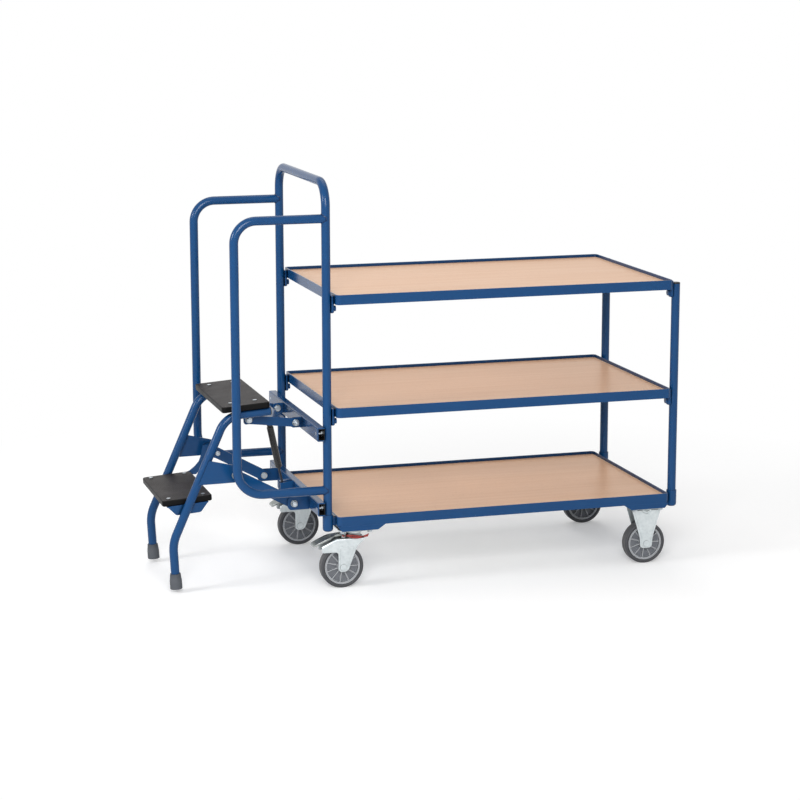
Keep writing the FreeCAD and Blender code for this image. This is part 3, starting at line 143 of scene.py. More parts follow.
def new_material(name, constants=None):
    """An empty material, its tree and its shader with the values that are the same all over."""
    material = bpy.data.materials.new(name)
    material.use_nodes = True
    surface = material.node_tree.nodes["Principled BSDF"]
    for socket, value in (constants or {}).items():
        surface.inputs[socket].default_value = value
    return material, material.node_tree, surface


def cover(surface, colour, roughness, normal=None):
    """Gives a shader what varies over the surface."""
    for socket, source in (("Base Color", colour), ("Roughness", roughness), ("Normal", normal)):
        if source is not None:
            surface.id_data.links.new(source, surface.inputs[socket])


def dress(material, *names):
    """Gives CAD nodes their finish."""
    for name in names:
        frame["nodes"][name].data.materials.clear()
        frame["nodes"][name].data.materials.append(material)


powder_blue, tree, surface = new_material("powder_coat_blue", {"Specular IOR Level": 0.22})
cloudy = noise(tree, 90, 3.0)
tint = blend(tree, cloudy, "#124370", "#0f3b69", name="tint")
soft_edge = rounded(tree, 1.2)
worn = blend(tree, on_edges(tree, soft_edge, 0.80, 0.35), tint, "#3c6ea6")
# Painted shade: the blue goes dark navy deep in corners and nooks.
corner_shade = blend(tree, in_the_open(tree, 16, (0.3, 0.8)), "#04142b", worn)
peel = bump(tree, noise(tree, 2.2, 1.0), 0.02, 0.3, Normal=soft_edge)
cover(surface, corner_shade, span(tree, cloudy, (0.15, 0.21), (0.3, 0.7)), peel)
dress(powder_blue, "base_shelf_frame", "left_caster_channel", "right_caster_channel", "post_sleeves")

# Posts and push bar. One steel tube of 25 mm, bent twice, is both left posts and the push
# bar; the right posts are two straight tubes, each closed by a pressed-in black plastic cap.
dress(powder_blue, "handle_frame", "front_right_post", "rear_right_post")
cap_plastic, tree, surface = new_material("moulded_black_plastic", {"IOR": 1.5, "Specular IOR Level": 0.3})
spark = noise(tree, 0.9, 2.0)
cover(surface, blend(tree, spark, "#070708", "#141416"), span(tree, spark, (0.38, 0.58)),
      bump(tree, spark, 0.15, 0.2))
dress(cap_plastic, "post_caps")

# Middle and top shelf frames, made as the base frame is and hung between the posts by four
# welded brackets each, which a round-headed bolt, coated with the frame, holds to the post.
dress(powder_blue, "middle_shelf_frame", "top_shelf_frame", "middle_shelf_brackets", "top_shelf_brackets",
      "shelf_bolts")

# Shelf boards. Chipboard with beech-effect melamine on top: a warm pale ground with broad
# soft streaks and short dark flecks along its length, a satin film, a bare paler cut at
# the edges, and grey balancing paper below. They lie loose in the frames.
BOARD_HALF_LENGTH, BOARD_HALF_WIDTH, DECK_X = 501.4 * MM, 301.4 * MM, 218.76 * MM
CUT_SHOWS = (4.0 * MM, 2.0 * MM)


def part_of(tree, vector, axis):
    """One axis of a vector."""
    return add_node(tree, "ShaderNodeSeparateXYZ", {"Vector": vector}).outputs[axis]


def maths(tree, operation, *values):
    """One sum of values or other nodes' outputs."""
    return add_node(tree, "ShaderNodeMath", dict(enumerate(values)), operation=operation).outputs["Value"]


beech, tree, surface = new_material("beech_melamine", {"IOR": 1.5, "Specular IOR Level": 0.14})
streak = noise(tree, (420, 16, 90), 4.0, 0.5)
fleck = noise(tree, (9, 1.2, 90), 1.0)
ground = blend(tree, streak, "#e6bc9a", "#d9ac88")
figure = blend(tree, span(tree, fleck, (0.0, 0.55), (0.62, 0.74)), ground, "#b98a68")
from_x = maths(tree, "ABSOLUTE", maths(tree, "SUBTRACT", part_of(tree, own_place(tree), "X"), DECK_X))
from_y = maths(tree, "ABSOLUTE", part_of(tree, own_place(tree), "Y"))
to_edge = maths(tree, "MINIMUM", maths(tree, "SUBTRACT", BOARD_HALF_LENGTH, from_x),
                maths(tree, "SUBTRACT", BOARD_HALF_WIDTH, from_y))
edged = blend(tree, span(tree, to_edge, (0.0, 0.5), CUT_SHOWS), figure, "#efdccb")
below = span(tree, part_of(tree, facing(tree), "Z"), over=(-0.4, -0.6))
cover(surface, blend(tree, below, edged, "#d2d2d0"), span(tree, streak, (0.26, 0.40)),
      bump(tree, fleck, 0.04, 0.1))
dress(beech, "base_shelf_board", "middle_shelf_board", "top_shelf_board")

# Handrails. Two C-shaped bends of the same tube, cut hollow at their ends to sit on the left
# posts. A rippled weld runs round each joint, coated with the rest in a darker blue that is
# painted shadow in the joint.
TUBE_RADIUS, BEAD_RADIUS, RIPPLE, RIPPLE_SWELL = 12.5 * MM, 1.5 * MM, 2.4 * MM, 0.02
LEFT_POST_X, POST_Y, RAIL_ENDS = -307.74 * MM, 272 * MM, (291 * MM, 1062 * MM)
SMOOTH_UP_TO = radians(32)
dress(powder_blue, "front_handrail", "rear_handrail")
# The welds' coat is a darker blue: painted shadow where rail meets post.
weld_shade_blue = powder_blue.copy()
weld_shade_blue.name = "powder_coat_weld_painted_shade"
weld_shade_blue.node_tree.nodes["tint"].inputs[6].default_value = linear("#082a52")
weld_shade_blue.node_tree.nodes["tint"].inputs[7].default_value = linear("#061f40")


def settle(name, body, slot, material, *stands_for):
    """Names the piece in hand, puts its place into its mesh and gives it its body and finish; the slot is not
    used.
    """
    piece = bpy.context.object
    piece.name = name
    piece.data.name = name
    bpy.ops.object.transform_apply(location=True, rotation=True, scale=True)
    bpy.ops.object.mode_set(mode="EDIT")
    bpy.ops.mesh.select_all(action="SELECT")
    bpy.ops.mesh.normals_make_consistent(inside=False)
    bpy.ops.object.mode_set(mode="OBJECT")
    bpy.ops.object.shade_smooth_by_angle(angle=SMOOTH_UP_TO)
    bpy.ops.object.modifier_add(type="WEIGHTED_NORMAL")
    piece.modifiers["WeightedNormal"].keep_sharp = True
    bpy.ops.object.modifier_apply(modifier="WeightedNormal")
    piece.data.materials.clear()
    piece.data.materials.append(material)
    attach(piece, body)
    if stands_for:
        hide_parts(*stands_for)
    bpy.ops.object.select_all(action="DESELECT")
    return piece


def copy_of(piece, shift):
    """A copy with its own mesh, moved by a distance and in hand for its own settling."""
    bpy.ops.object.select_all(action="DESELECT")
    piece.select_set(True)
    bpy.context.view_layer.objects.active = piece
    bpy.ops.object.duplicate()
    bpy.ops.object.parent_clear(type="CLEAR_KEEP_TRANSFORM")
    bpy.context.object.location = shift
    return bpy.context.object


bpy.ops.mesh.primitive_torus_add(major_radius=TUBE_RADIUS, minor_radius=BEAD_RADIUS, major_segments=96,
                                 minor_segments=10, rotation=(0, pi / 2, 0))
bpy.ops.object.transform_apply(rotation=True)
for point in bpy.context.object.data.vertices:
    turn = atan2(point.co.z, point.co.y)
    swell = 1 + RIPPLE_SWELL * sin(turn * 2 * pi * TUBE_RADIUS / RIPPLE)
    point.co.y *= swell
    point.co.z *= swell
    point.co.x -= sqrt(max(0.0, TUBE_RADIUS ** 2 - min(TUBE_RADIUS, abs(point.co.y)) ** 2))
bpy.context.object.location = (LEFT_POST_X, -POST_Y, RAIL_ENDS[0])
weld = settle("front_handrail_low_weld", "frame", "blue_paint", weld_shade_blue)
for name, shift in (("front_handrail_top_weld", (0, 0, RAIL_ENDS[1] - RAIL_ENDS[0])),
                    ("rear_handrail_low_weld", (0, 2 * POST_Y, 0)),
                    ("rear_handrail_top_weld", (0, 2 * POST_Y, RAIL_ENDS[1] - RAIL_ENDS[0]))):
    copy_of(weld, shift)
    settle(name, "frame", "blue_paint", weld_shade_blue)

# Cross channels. Two folded steel channels bolted to the left posts carry the step linkage.
# Each open end holds a thin black box round the zinc-plated bolt: a dark sheet put there as
# painted shade inside the channel.
WEB_X, CHANNEL_Z, LINER_END_Y = -338.3 * MM, (240 * MM, 456 * MM), 291 * MM
LINER_DEPTH, LINER_LENGTH, LINER_HEIGHT = 17.6 * MM, 46 * MM, 32.8 * MM
LINER_WALL, LINER_ROUND = 1.2 * MM, 2 * MM
dress(powder_blue, "upper_cross_channel", "lower_cross_channel")
bolt_zinc, tree, surface = new_material("zinc_plated_bolt", {"Metallic": 1.0})
film = noise(tree, 5, 3.0)
cast = blend(tree, film, "#aeb9c2", "#d3d8db")
# Painted shade: the bolts go dark grey where heads, washers and nuts meet other parts.
cover(surface, blend(tree, in_the_open(tree, 6, (0.35, 0.95), samples=4), "#2b3138", cast),
      span(tree, film, (0.24, 0.44)), rounded(tree, 0.6))
dress(bolt_zinc, "cross_channel_bolts")


def pick(test, kind="faces"):
    """In edit mode, selects only the faces or edges that pass a test."""
    bpy.ops.mesh.select_mode(type={"faces": "FACE", "edges": "EDGE"}[kind])
    bpy.ops.mesh.select_all(action="DESELECT")
    work = bmesh.from_edit_mesh(bpy.context.object.data)
    for item in getattr(work, kind):
        item.select_set(test(item))
    bmesh.update_edit_mesh(bpy.context.object.data)


def bevel_edges(test, offset, segments):
    """In edit mode, rounds or chamfers the edges that pass a test."""
    pick(test, "edges")
    bpy.ops.mesh.bevel(offset=offset, segments=segments, affect="EDGES")


def thicken(thickness, offset=-1.0):
    """Gives the sheet in hand its thickness."""
    bpy.ops.object.modifier_add(type="SOLIDIFY")
    sheet = bpy.context.object.modifiers["Solidify"]
    sheet.thickness = thickness
    sheet.offset = offset
    bpy.ops.object.modifier_apply(modifier="Solidify")


# The black box stands in for the shade inside the channel's open end.
bpy.ops.mesh.primitive_cube_add(
    size=1, location=(WEB_X + LINER_DEPTH / 2, -LINER_END_Y + LINER_LENGTH / 2, CHANNEL_Z[0]))
bpy.context.object.scale = (LINER_DEPTH, LINER_LENGTH, LINER_HEIGHT)
bpy.ops.object.transform_apply(location=False, rotation=False, scale=True)
bpy.ops.object.mode_set(mode="EDIT")
pick(lambda face: face.normal.y < -0.9)
bpy.ops.mesh.delete(type="FACE")
bevel_edges(lambda edge: len(edge.link_faces) == 2, LINER_ROUND, 3)
bpy.ops.object.mode_set(mode="OBJECT")
thicken(LINER_WALL)
shade_liner = settle("front_lower_channel_shade_liner", "frame", "black_plastic", cap_plastic)
for name, shift in (("front_upper_channel_shade_liner", (0, 0, CHANNEL_Z[1] - CHANNEL_Z[0])),
                    ("rear_lower_channel_shade_liner", (0, 0, 0)),
                    ("rear_upper_channel_shade_liner", (0, 0, CHANNEL_Z[1] - CHANNEL_Z[0]))):
    copy_of(shade_liner, shift)
    if name.startswith("rear"):
        bpy.context.object.scale.y = -1
    settle(name, "frame", "black_plastic", cap_plastic)

# Step linkage. Flat-bar ears are welded to the channels; the upper link is a yoke of two
# cheeks and a web, the lower links are two flat bars with a stud near their upper ends, whose
# nut is on the inner face. All turn on zinc-plated bolts.
dress(powder_blue, "upper_link_ears", "lower_link_ears", "upper_link_yoke", "lower_links")
dress(bolt_zinc, "upper_link_bolts", "lower_link_bolts")
NUT_RADIUS, NUT_HEIGHT, NUT_CHAMFER = 8 * MM, 6.5 * MM, 1.2 * MM
STUD_RADIUS, STUD_PROUD, STUD_SUNK, STUD_CHAMFER = 4 * MM, 1.6 * MM, 1 * MM, 0.8 * MM
OUTER_NUTS = (("upper_link", "upper_link", -359.84, 122.5, 458.0),
              ("upper_step", "upper_link", -497.83, 122.5, 474.7),
              ("lower_link", "lower_link", -385.84, 198.6, 238.6),
              ("side_plate", "lower_link", -556.6, 198.6, 332.5))
STUD_NUT, NUT_SIDES, PIN_SIDES, CLOSE = (-527.7, 180.1, 316.6), 6, 32, 0.1 * MM


def join_pieces(*parts):
    """Makes one piece of several, the first in hand."""
    bpy.ops.object.select_all(action="DESELECT")
    for part in parts:
        part.select_set(True)
    bpy.context.view_layer.objects.active = parts[0]
    bpy.ops.object.join()
    return parts[0]


def reach(edge, axis):
    """How far an edge runs along an axis."""
    return abs(getattr(edge.verts[0].co, axis) - getattr(edge.verts[1].co, axis))


def bar_across(radius, low, high, sides):
    """A plain round or many-sided bar across the trolley, ready for its edges."""
    bpy.ops.mesh.primitive_cylinder_add(vertices=sides, radius=radius, depth=high - low,
                                        location=(0, (low + high) / 2, 0), rotation=(pi / 2, 0, 0))
    bpy.ops.object.transform_apply(location=True, rotation=True)
    bpy.ops.object.mode_set(mode="EDIT")
    return bpy.context.object


nut = bar_across(NUT_RADIUS, -NUT_HEIGHT, 0, NUT_SIDES)
bevel_edges(lambda edge: all(v.co.y < -NUT_HEIGHT / 2 for v in edge.verts), NUT_CHAMFER, 2)
bpy.ops.object.mode_set(mode="OBJECT")
stud = bar_across(STUD_RADIUS, -NUT_HEIGHT - STUD_PROUD, -NUT_HEIGHT + STUD_SUNK, PIN_SIDES)
bevel_edges(lambda edge: reach(edge, "y") < CLOSE, STUD_CHAMFER, 2)
bpy.ops.object.mode_set(mode="OBJECT")
join_pieces(nut, stud)
for name, body, x, y, z in OUTER_NUTS:
    for side, sign in (("front", -1), ("rear", 1)):
        copy_of(nut, (x * MM, sign * y * MM, z * MM))
        bpy.context.object.scale.y = -sign
        settle(f"{side}_{name}_nut", body, "zinc_bolt", bolt_zinc)
for side, sign in (("front", -1), ("rear", 1)):
    copy_of(nut, (STUD_NUT[0] * MM, sign * STUD_NUT[1] * MM, STUD_NUT[2] * MM))
    bpy.context.object.scale.y = sign
    settle(f"{side}_link_stud_nut", "lower_link", "zinc_bolt", bolt_zinc)
bpy.data.objects.remove(nut)

# Gas spring. A black enamelled cylinder in a thin black sleeve slides on a ground rod of
# darkened steel, held by an eye at each end; the lower eye turns in a small welded bracket.
GAS_FOOT, GAS_LEAN = (-371.84 * MM, 0, 246 * MM), radians(11.6)
SLEEVE_RADIUS, SLEEVE_ENDS, SLEEVE_ROUND = 10 * MM, (60 * MM, 184 * MM), 2.5 * MM
TUBE_SIDES = 48
dress(powder_blue, "gas_spring_bracket")
enamel, tree, surface = new_material("black_enamel", {"IOR": 1.5})
flow = noise(tree, 14, 3.0)
cover(surface, blend(tree, flow, "#0d0d0f", "#1b1a1b"), span(tree, flow, (0.16, 0.36)), rounded(tree, 0.8))
dress(enamel, "gas_spring_cylinder")
bpy.ops.mesh.primitive_cylinder_add(vertices=TUBE_SIDES, radius=SLEEVE_RADIUS,
                                    depth=SLEEVE_ENDS[1] - SLEEVE_ENDS[0],
                                    location=(0, 0, sum(SLEEVE_ENDS) / 2))
bpy.ops.object.transform_apply(location=True)
bpy.ops.object.mode_set(mode="EDIT")
bevel_edges(lambda edge: reach(edge, "z") < MM, SLEEVE_ROUND, 4)
bpy.ops.object.mode_set(mode="OBJECT")
bpy.context.object.matrix_world = Matrix.Translation(GAS_FOOT) @ Matrix.Rotation(-GAS_LEAN, 4, "Y")
settle("gas_spring_sleeve", "gas_cylinder", "black_steel", enamel)
rod_steel, tree, surface = new_material("darkened_steel_rod", {"Metallic": 1.0})
ground_lines = noise(tree, (30, 30, 0.8), 2.0)
cover(surface, blend(tree, ground_lines, "#25262a", "#4a4b50"), span(tree, ground_lines, (0.15, 0.35)))
dress(rod_steel, "gas_spring_rod")

# Step unit frame. Two legs of bent 25 mm tube, a tray under each tread and a side plate on
# each leg for the lower links, all welded and powder coated. Black plugs close the tubes.
STEP_X, STEP_Z, STEP_TILT = -497.83 * MM, 474.70 * MM, radians(4.1)
LEG_Y, LEG_END_X, LEG_END_Z = 174 * MM, 51 * MM, 31 * MM
PLUG_PROUD, PLUG_SHY, PLUG_ROUND = 2.5 * MM, 0.4 * MM, 1.6 * MM
dress(powder_blue, "front_step_leg", "rear_step_leg", "upper_step_tray", "lower_step_tray",
      "step_side_plates")


def onto_step_unit():
    """Turns and moves the piece in hand from the step unit's own axes to its place on the trolley."""
    bpy.context.view_layer.update()
    tilt = Matrix.Rotation(-STEP_TILT, 4, "Y")
    bpy.context.object.matrix_world = (Matrix.Translation((STEP_X, 0, STEP_Z)) @ tilt
                                       @ bpy.context.object.matrix_world)


bpy.ops.mesh.primitive_cylinder_add(vertices=TUBE_SIDES, radius=TUBE_RADIUS - PLUG_SHY, depth=PLUG_PROUD,
                                    location=(LEG_END_X + PLUG_PROUD / 2, -LEG_Y, LEG_END_Z),
                                    rotation=(0, pi / 2, 0))
bpy.ops.object.transform_apply(location=False, rotation=True)
bpy.ops.object.mode_set(mode="EDIT")
bevel_edges(lambda edge: all(v.co.x > 0 for v in edge.verts) and len(edge.link_faces) == 2, PLUG_ROUND, 4)
bpy.ops.object.mode_set(mode="OBJECT")
onto_step_unit()
plug = settle("front_leg_plug", "step_unit", "black_plastic", cap_plastic)
copy_of(plug, (0, 2 * LEG_Y, 0))
settle("rear_leg_plug", "step_unit", "black_plastic", cap_plastic)

# Stay. A strip of sheet with a hollowed edge, welded inside the rear leg between the side
# plate and the lower tread's tray, and coated with the legs.
STAY_Y, STAY_SHEET, STAY_EDGE = 157 * MM, 3 * MM, 0.6 * MM
STAY_OUTLINE = ((-628, 262), (-629, 270.5), (-618, 274.5), (-602, 287), (-590, 300.5), (-584, 316),
                (-577, 348), (-546, 348), (-550, 330), (-560, 312), (-580, 284), (-598, 262))


def upright_plate(corners, near_y, far_y):
    """A block with the given outline along the trolley, extruded across it from a filled ring of points."""
    bpy.ops.mesh.primitive_circle_add(vertices=len(corners), fill_type="NGON")
    for point, (x, z) in zip(bpy.context.object.data.vertices, corners):
        point.co = (x * MM, near_y, z * MM)
    bpy.ops.object.mode_set(mode="EDIT")
    bpy.ops.mesh.select_all(action="SELECT")
    bpy.ops.mesh.extrude_region_move(TRANSFORM_OT_translate={"value": (0, far_y - near_y, 0)})
    bpy.ops.mesh.select_all(action="SELECT")
    bpy.ops.mesh.normals_make_consistent(inside=False)
    return bpy.context.object


upright_plate(STAY_OUTLINE, STAY_Y, STAY_Y + STAY_SHEET)
bevel_edges(lambda edge: reach(edge, "y") < CLOSE, STAY_EDGE, 2)
bpy.ops.object.mode_set(mode="OBJECT")
settle("rear_tread_stay", "step_unit", "blue_paint", powder_blue)

# Treads. Film-faced plywood with a pressed non-slip mesh on top, rounded and sealed black
# at the edges, held by four low-headed zinc-plated screws each.
TREADS = (("upper_tread", "upper_step", 50, 139, 190, 60.6),
          ("lower_tread", "lower_step", -133, 144, 158, -192.5))
TREAD_THICK, TREAD_CORNER, TREAD_ROUND = 17 * MM, 10 * MM, 3 * MM
WIRE_SCALE = 0.31 / (5 * MM)
film_ply, tree, surface = new_material("film_faced_plywood", {"IOR": 1.5, "Specular IOR Level": 0.12})
rows, columns = (add_node(tree, "ShaderNodeTexWave", {"Vector": own_place(tree), "Scale": WIRE_SCALE},
                          bands_direction=run).outputs["Fac"] for run in ("X", "Y"))
wires = maths(tree, "MAXIMUM", rows, columns)
scuff = noise(tree, 45, 5.0)
film = blend(tree, scuff, "#231f1f", "#302b2a")
marked = blend(tree, span(tree, wires, (0.0, 0.5), (0.6, 1.0)), film, "#171515")
top_side = span(tree, part_of(tree, facing(tree), "Z"), over=(0.80, 0.98))
cover(surface, blend(tree, top_side, "#060607", marked), span(tree, scuff, (0.36, 0.56)),
      bump(tree, wires, 0.5, 0.4))
for name, node, right, going, half, top in TREADS:
    bpy.ops.mesh.primitive_cube_add(
        size=1, location=((right - going / 2) * MM, 0, top * MM - TREAD_THICK / 2))
    bpy.context.object.scale = (going * MM, 2 * half * MM, TREAD_THICK)
    bpy.ops.object.transform_apply(location=False, rotation=False, scale=True)
    bpy.ops.object.mode_set(mode="EDIT")
    bevel_edges(lambda edge: reach(edge, "z") > TREAD_THICK / 2, TREAD_CORNER, 6)
    bevel_edges(lambda edge: reach(edge, "z") < TREAD_THICK / 2, TREAD_ROUND, 4)
    bpy.ops.object.mode_set(mode="OBJECT")
    onto_step_unit()
    settle(name, "step_unit", "step_board", film_ply, node)
dress(bolt_zinc, "step_screws")

# Rubber feet. Moulded grey cups pushed over the leg ends and held by their own grip: matt,
# a little dusty near the floor.
DUST_SHOWS = (52 * MM, 40 * MM)
foot_rubber, tree, surface = new_material("moulded_grey_rubber", {"IOR": 1.52})
dusty = noise(tree, 6, 5.0)
low_part = span(tree, part_of(tree, own_place(tree), "Z"), (0.0, 0.5), DUST_SHOWS)
cover(surface, blend(tree, low_part, blend(tree, dusty, "#282c30", "#4a4f56"), "#52555b"),
      span(tree, dusty, (0.55, 0.8)), bump(tree, dusty, 0.2, 0.3))
dress(foot_rubber, "step_feet")

# Caster plates and their bolts. Pressed steel, bright zinc plated: a soft grey-white metal
# with a faint clouded spangle, and painted shade darkening its folds and corners.
SPANGLE_SIZE, SPANGLE_SHARE = 7 * MM, 0.25
caster_zinc, tree, surface = new_material("bright_zinc_sheet", {"Metallic": 1.0})
cloud = noise(tree, 18, 4.0)
spangle = add_node(tree, "ShaderNodeTexVoronoi", {"Vector": own_place(tree), "Scale": 1 / SPANGLE_SIZE})
mottle = add_node(tree, "ShaderNodeMix", {0: SPANGLE_SHARE, 2: cloud, 3: spangle.outputs["Distance"]})
bright = blend(tree, mottle.outputs[0], "#b2bbbe", "#dfe4e5")
# Painted shade: the zinc goes dark grey in folds and corners.
cover(surface, blend(tree, in_the_open(tree, 12, (0.25, 0.85)), "#33383b", bright),
      span(tree, cloud, (0.34, 0.52)), rounded(tree, 0.7))
dress(caster_zinc, "swivel_plates")
dress(bolt_zinc, "caster_bolts")

# Swivel forks. Each is pressed from one sheet: a crown rounded into two legs with a raised
# pad, skirts that reach back over the wheel, a turned bearing cup riveted on top, and two
# lugs for the pedal's pin.
SWIVEL_X, CASTER_Y, FORK_HALF, FORK_GAP_HALF = -228.24 * MM, 253 * MM, 24 * MM, 21 * MM
FORK_OUTLINE = ((-50, 48.5), (-22, 48.5), (6, 122), (27, 140), (27, 147), (-55.6, 147), (-98, 127.5),
                (-98, 107.5), (-50, 107.5))
TOE_ROUND, FORK_BEND_ROUND, SKIRT_ROUND, CROWN_ROUND, FORK_EDGE = 11 * MM, 6 * MM, 9 * MM, 5 * MM, 1.2 * MM
CROWN_LOW, CROWN_TOP, CROWN_EDGES_FROM = 140 * MM, 147 * MM, 120 * MM
GAP_BACK, GAP_FRONT, GAP_LOW, GAP_ROUND = -160 * MM, 80 * MM, -20 * MM, 3 * MM
CUP_FLANGE_RADIUS, CUP_FLANGE, CUP_SIDES = 25 * MM, 3 * MM, 64
CUP_STEPS = ((0.84, 0.0), (1.0, 8 * MM), (1.13, 1.5 * MM), (1.0, 5 * MM), (0.93, 1.5 * MM), (1.0, 3.4 * MM))
LEG_PAD, PAD_PROUD, PAD_SUNK = ((-44, 58), (-28, 58), (-4, 122), (-44, 122)), 0.9 * MM, 1 * MM
PAD_ROUND, PAD_EDGE, PAD_TOP, PAD_GAP_ROUND = 7 * MM, 0.8 * MM, 170 * MM, 0.5 * MM
LUG_OUTLINE = ((-38.5, 146), (-27.5, 146), (-27.5, 162.5), (-38.5, 162.5))
LUG_Y, LUG_HALF, LUG_ROUND = 14.5 * MM, 2 * MM, 5 * MM
FACES_AXIS = 0.99


def round_corners(spots, radius):
    """Rounds the edges that run across the trolley at the given corners of an outline."""
    wanted = [(x * MM, z * MM) for x, z in spots]
    bevel_edges(lambda edge: reach(edge, "y") > MM
                and any(abs(edge.verts[0].co.x - x) < CLOSE and abs(edge.verts[0].co.z - z) < CLOSE
                        and abs(edge.verts[1].co.x - x) < CLOSE for x, z in wanted), radius, 6)


def cut_away(piece, low, high, edge_radius):
    """Takes a box with rounded edges out of a piece."""
    bpy.ops.mesh.primitive_cube_add(size=1, location=[(a + b) / 2 for a, b in zip(low, high)])
    tool = bpy.context.object
    tool.scale = [b - a for a, b in zip(low, high)]
    bpy.ops.object.transform_apply(location=True, scale=True)
    bpy.ops.object.mode_set(mode="EDIT")
    bevel_edges(lambda edge: True, edge_radius, 4)
    bpy.ops.object.mode_set(mode="OBJECT")
    bpy.ops.object.select_all(action="DESELECT")
    piece.select_set(True)
    bpy.context.view_layer.objects.active = piece
    bpy.ops.object.modifier_add(type="BOOLEAN")
    piece.modifiers["Boolean"].object = tool
    piece.modifiers["Boolean"].operation = "DIFFERENCE"
    bpy.ops.object.modifier_apply(modifier="Boolean")
    bpy.data.objects.remove(tool)


fork = upright_plate(FORK_OUTLINE, -FORK_HALF, FORK_HALF)
round_corners(FORK_OUTLINE[:2], TOE_ROUND)
round_corners((FORK_OUTLINE[2], FORK_OUTLINE[7]), FORK_BEND_ROUND)
round_corners((FORK_OUTLINE[8],), SKIRT_ROUND)
bevel_edges(lambda edge: all(v.co.z > CROWN_EDGES_FROM for v in edge.verts) and reach(edge, "y") < MM
            and all(face.normal.z > 0.5 or abs(face.normal.y) > 0.9 for face in edge.link_faces),
            CROWN_ROUND, 5)
bevel_edges(lambda edge: any(abs(face.normal.y) > FACES_AXIS for face in edge.link_faces)
            and len(edge.link_faces) == 2 and any(abs(face.normal.y) < 0.5 for face in edge.link_faces),
            FORK_EDGE, 3)
bpy.ops.object.mode_set(mode="OBJECT")
cut_away(fork, (GAP_BACK, -FORK_GAP_HALF, GAP_LOW), (GAP_FRONT, FORK_GAP_HALF, CROWN_LOW), GAP_ROUND)
bpy.ops.mesh.primitive_cylinder_add(vertices=CUP_SIDES, radius=CUP_FLANGE_RADIUS, depth=CUP_FLANGE,
                                    location=(0, 0, CROWN_TOP + CUP_FLANGE / 2))
cup = bpy.context.object
bpy.ops.object.transform_apply(location=True)
bpy.ops.object.mode_set(mode="EDIT")
for grow, rise in CUP_STEPS:
    top = max(v.co.z for v in bmesh.from_edit_mesh(cup.data).verts)
    pick(lambda face: face.normal.z > FACES_AXIS and abs(face.calc_center_median().z - top) < CLOSE
         and len(face.verts) == CUP_SIDES)
    bpy.ops.mesh.extrude_region_move(TRANSFORM_OT_translate={"value": (0, 0, rise)})
    bpy.ops.transform.resize(value=(grow, grow, 1))
bpy.ops.object.mode_set(mode="OBJECT")
pad = upright_plate(LEG_PAD, -FORK_HALF - PAD_PROUD, FORK_HALF + PAD_PROUD)
round_corners(LEG_PAD, PAD_ROUND)
bevel_edges(lambda edge: reach(edge, "y") < CLOSE, PAD_EDGE, 2)
bpy.ops.object.mode_set(mode="OBJECT")
cut_away(pad, (GAP_BACK, -FORK_HALF + PAD_SUNK, GAP_LOW), (GAP_FRONT, FORK_HALF - PAD_SUNK, PAD_TOP),
         PAD_GAP_ROUND)
lugs = []
for lug_y in (-LUG_Y, LUG_Y):
    lugs.append(upright_plate(LUG_OUTLINE, lug_y - LUG_HALF, lug_y + LUG_HALF))
    round_corners(LUG_OUTLINE[2:], LUG_ROUND)
    bpy.ops.object.mode_set(mode="OBJECT")
join_pieces(fork, cup, pad, *lugs)
fork.location = (SWIVEL_X, -CASTER_Y, 0)
settle("front_pressed_swivel_fork", "front_swivel", "zinc_sheet", caster_zinc, "front_swivel_fork")
copy_of(fork, (0, 2 * CASTER_Y, 0))
settle("rear_pressed_swivel_fork", "rear_swivel", "zinc_sheet", caster_zinc, "rear_swivel_fork")
dress(caster_zinc, "front_swivel_axle", "rear_swivel_axle")

# Brake pedals. A zinc-plated pressing with turned-down edges and three ribs for grip, arched
# down to its tip and pivoted on a pin between the fork's lugs.
PEDAL_HALF, PEDAL_SHEET, PEDAL_FLANGE = 21 * MM, 2.2 * MM, 4.5 * MM
PEDAL_LINE = ((-33, 157.5), (-47, 157), (-62, 154.5), (-80, 148.5), (-100, 140), (-115, 132.5), (-121, 129.5))
PEDAL_ROWS, PEDAL_COLUMNS, PEDAL_HEEL = 32, 14, -33.5 * MM
NECK_SHARE, NECK_END, NECK_RUN = 0.55, 58, 14
TIP_START, TIP_RUN, TIP_DRAW = 112, 9, 0.18
RIB_COLUMNS, RIB_ENDS, RIB_RISE = (2, 3, 6, 7, 8, 11, 12), (-116, -64), 1.6
PIN_X, PIN_Z, BOSS_RADIUS, BOSS_HALF = -33 * MM, 157 * MM, 5.5 * MM, 12 * MM
BOSS_WALL, PIN_PROUD, PIN_REACH = 2.5 * MM, 4.5 * MM, 11 * MM
# Scuffed zinc with painted light: painted shade in grooves and nooks, a near-white painted highlight on every
# edge.
pedal_zinc, tree, surface = new_material("worn_zinc_pedal_painted_light", {"Metallic": 1.0})
scuff = noise(tree, (22, 2.5, 8), 5.0)
soft_edge = rounded(tree, 1.8)
rubbed = blend(tree, scuff, "#767c7a", "#b3b8b6")
corner_shade = blend(tree, in_the_open(tree, 4, (0.45, 0.95)), "#1d2020", rubbed)
cover(surface, blend(tree, on_edges(tree, soft_edge, 0.8, 0.8), corner_shade, "#eceeee"),
      span(tree, scuff, (0.22, 0.42)), soft_edge)


def on_line(line, x):
    """Height of a line of corners at a distance along it."""
    corners = sorted(line)
    for (x0, z0), (x1, z1) in zip(corners, corners[1:]):
        if x <= x1:
            share = min(1.0, max(0.0, (x - x0) / (x1 - x0)))
            return z0 + (z1 - z0) * share
    return corners[-1][1]


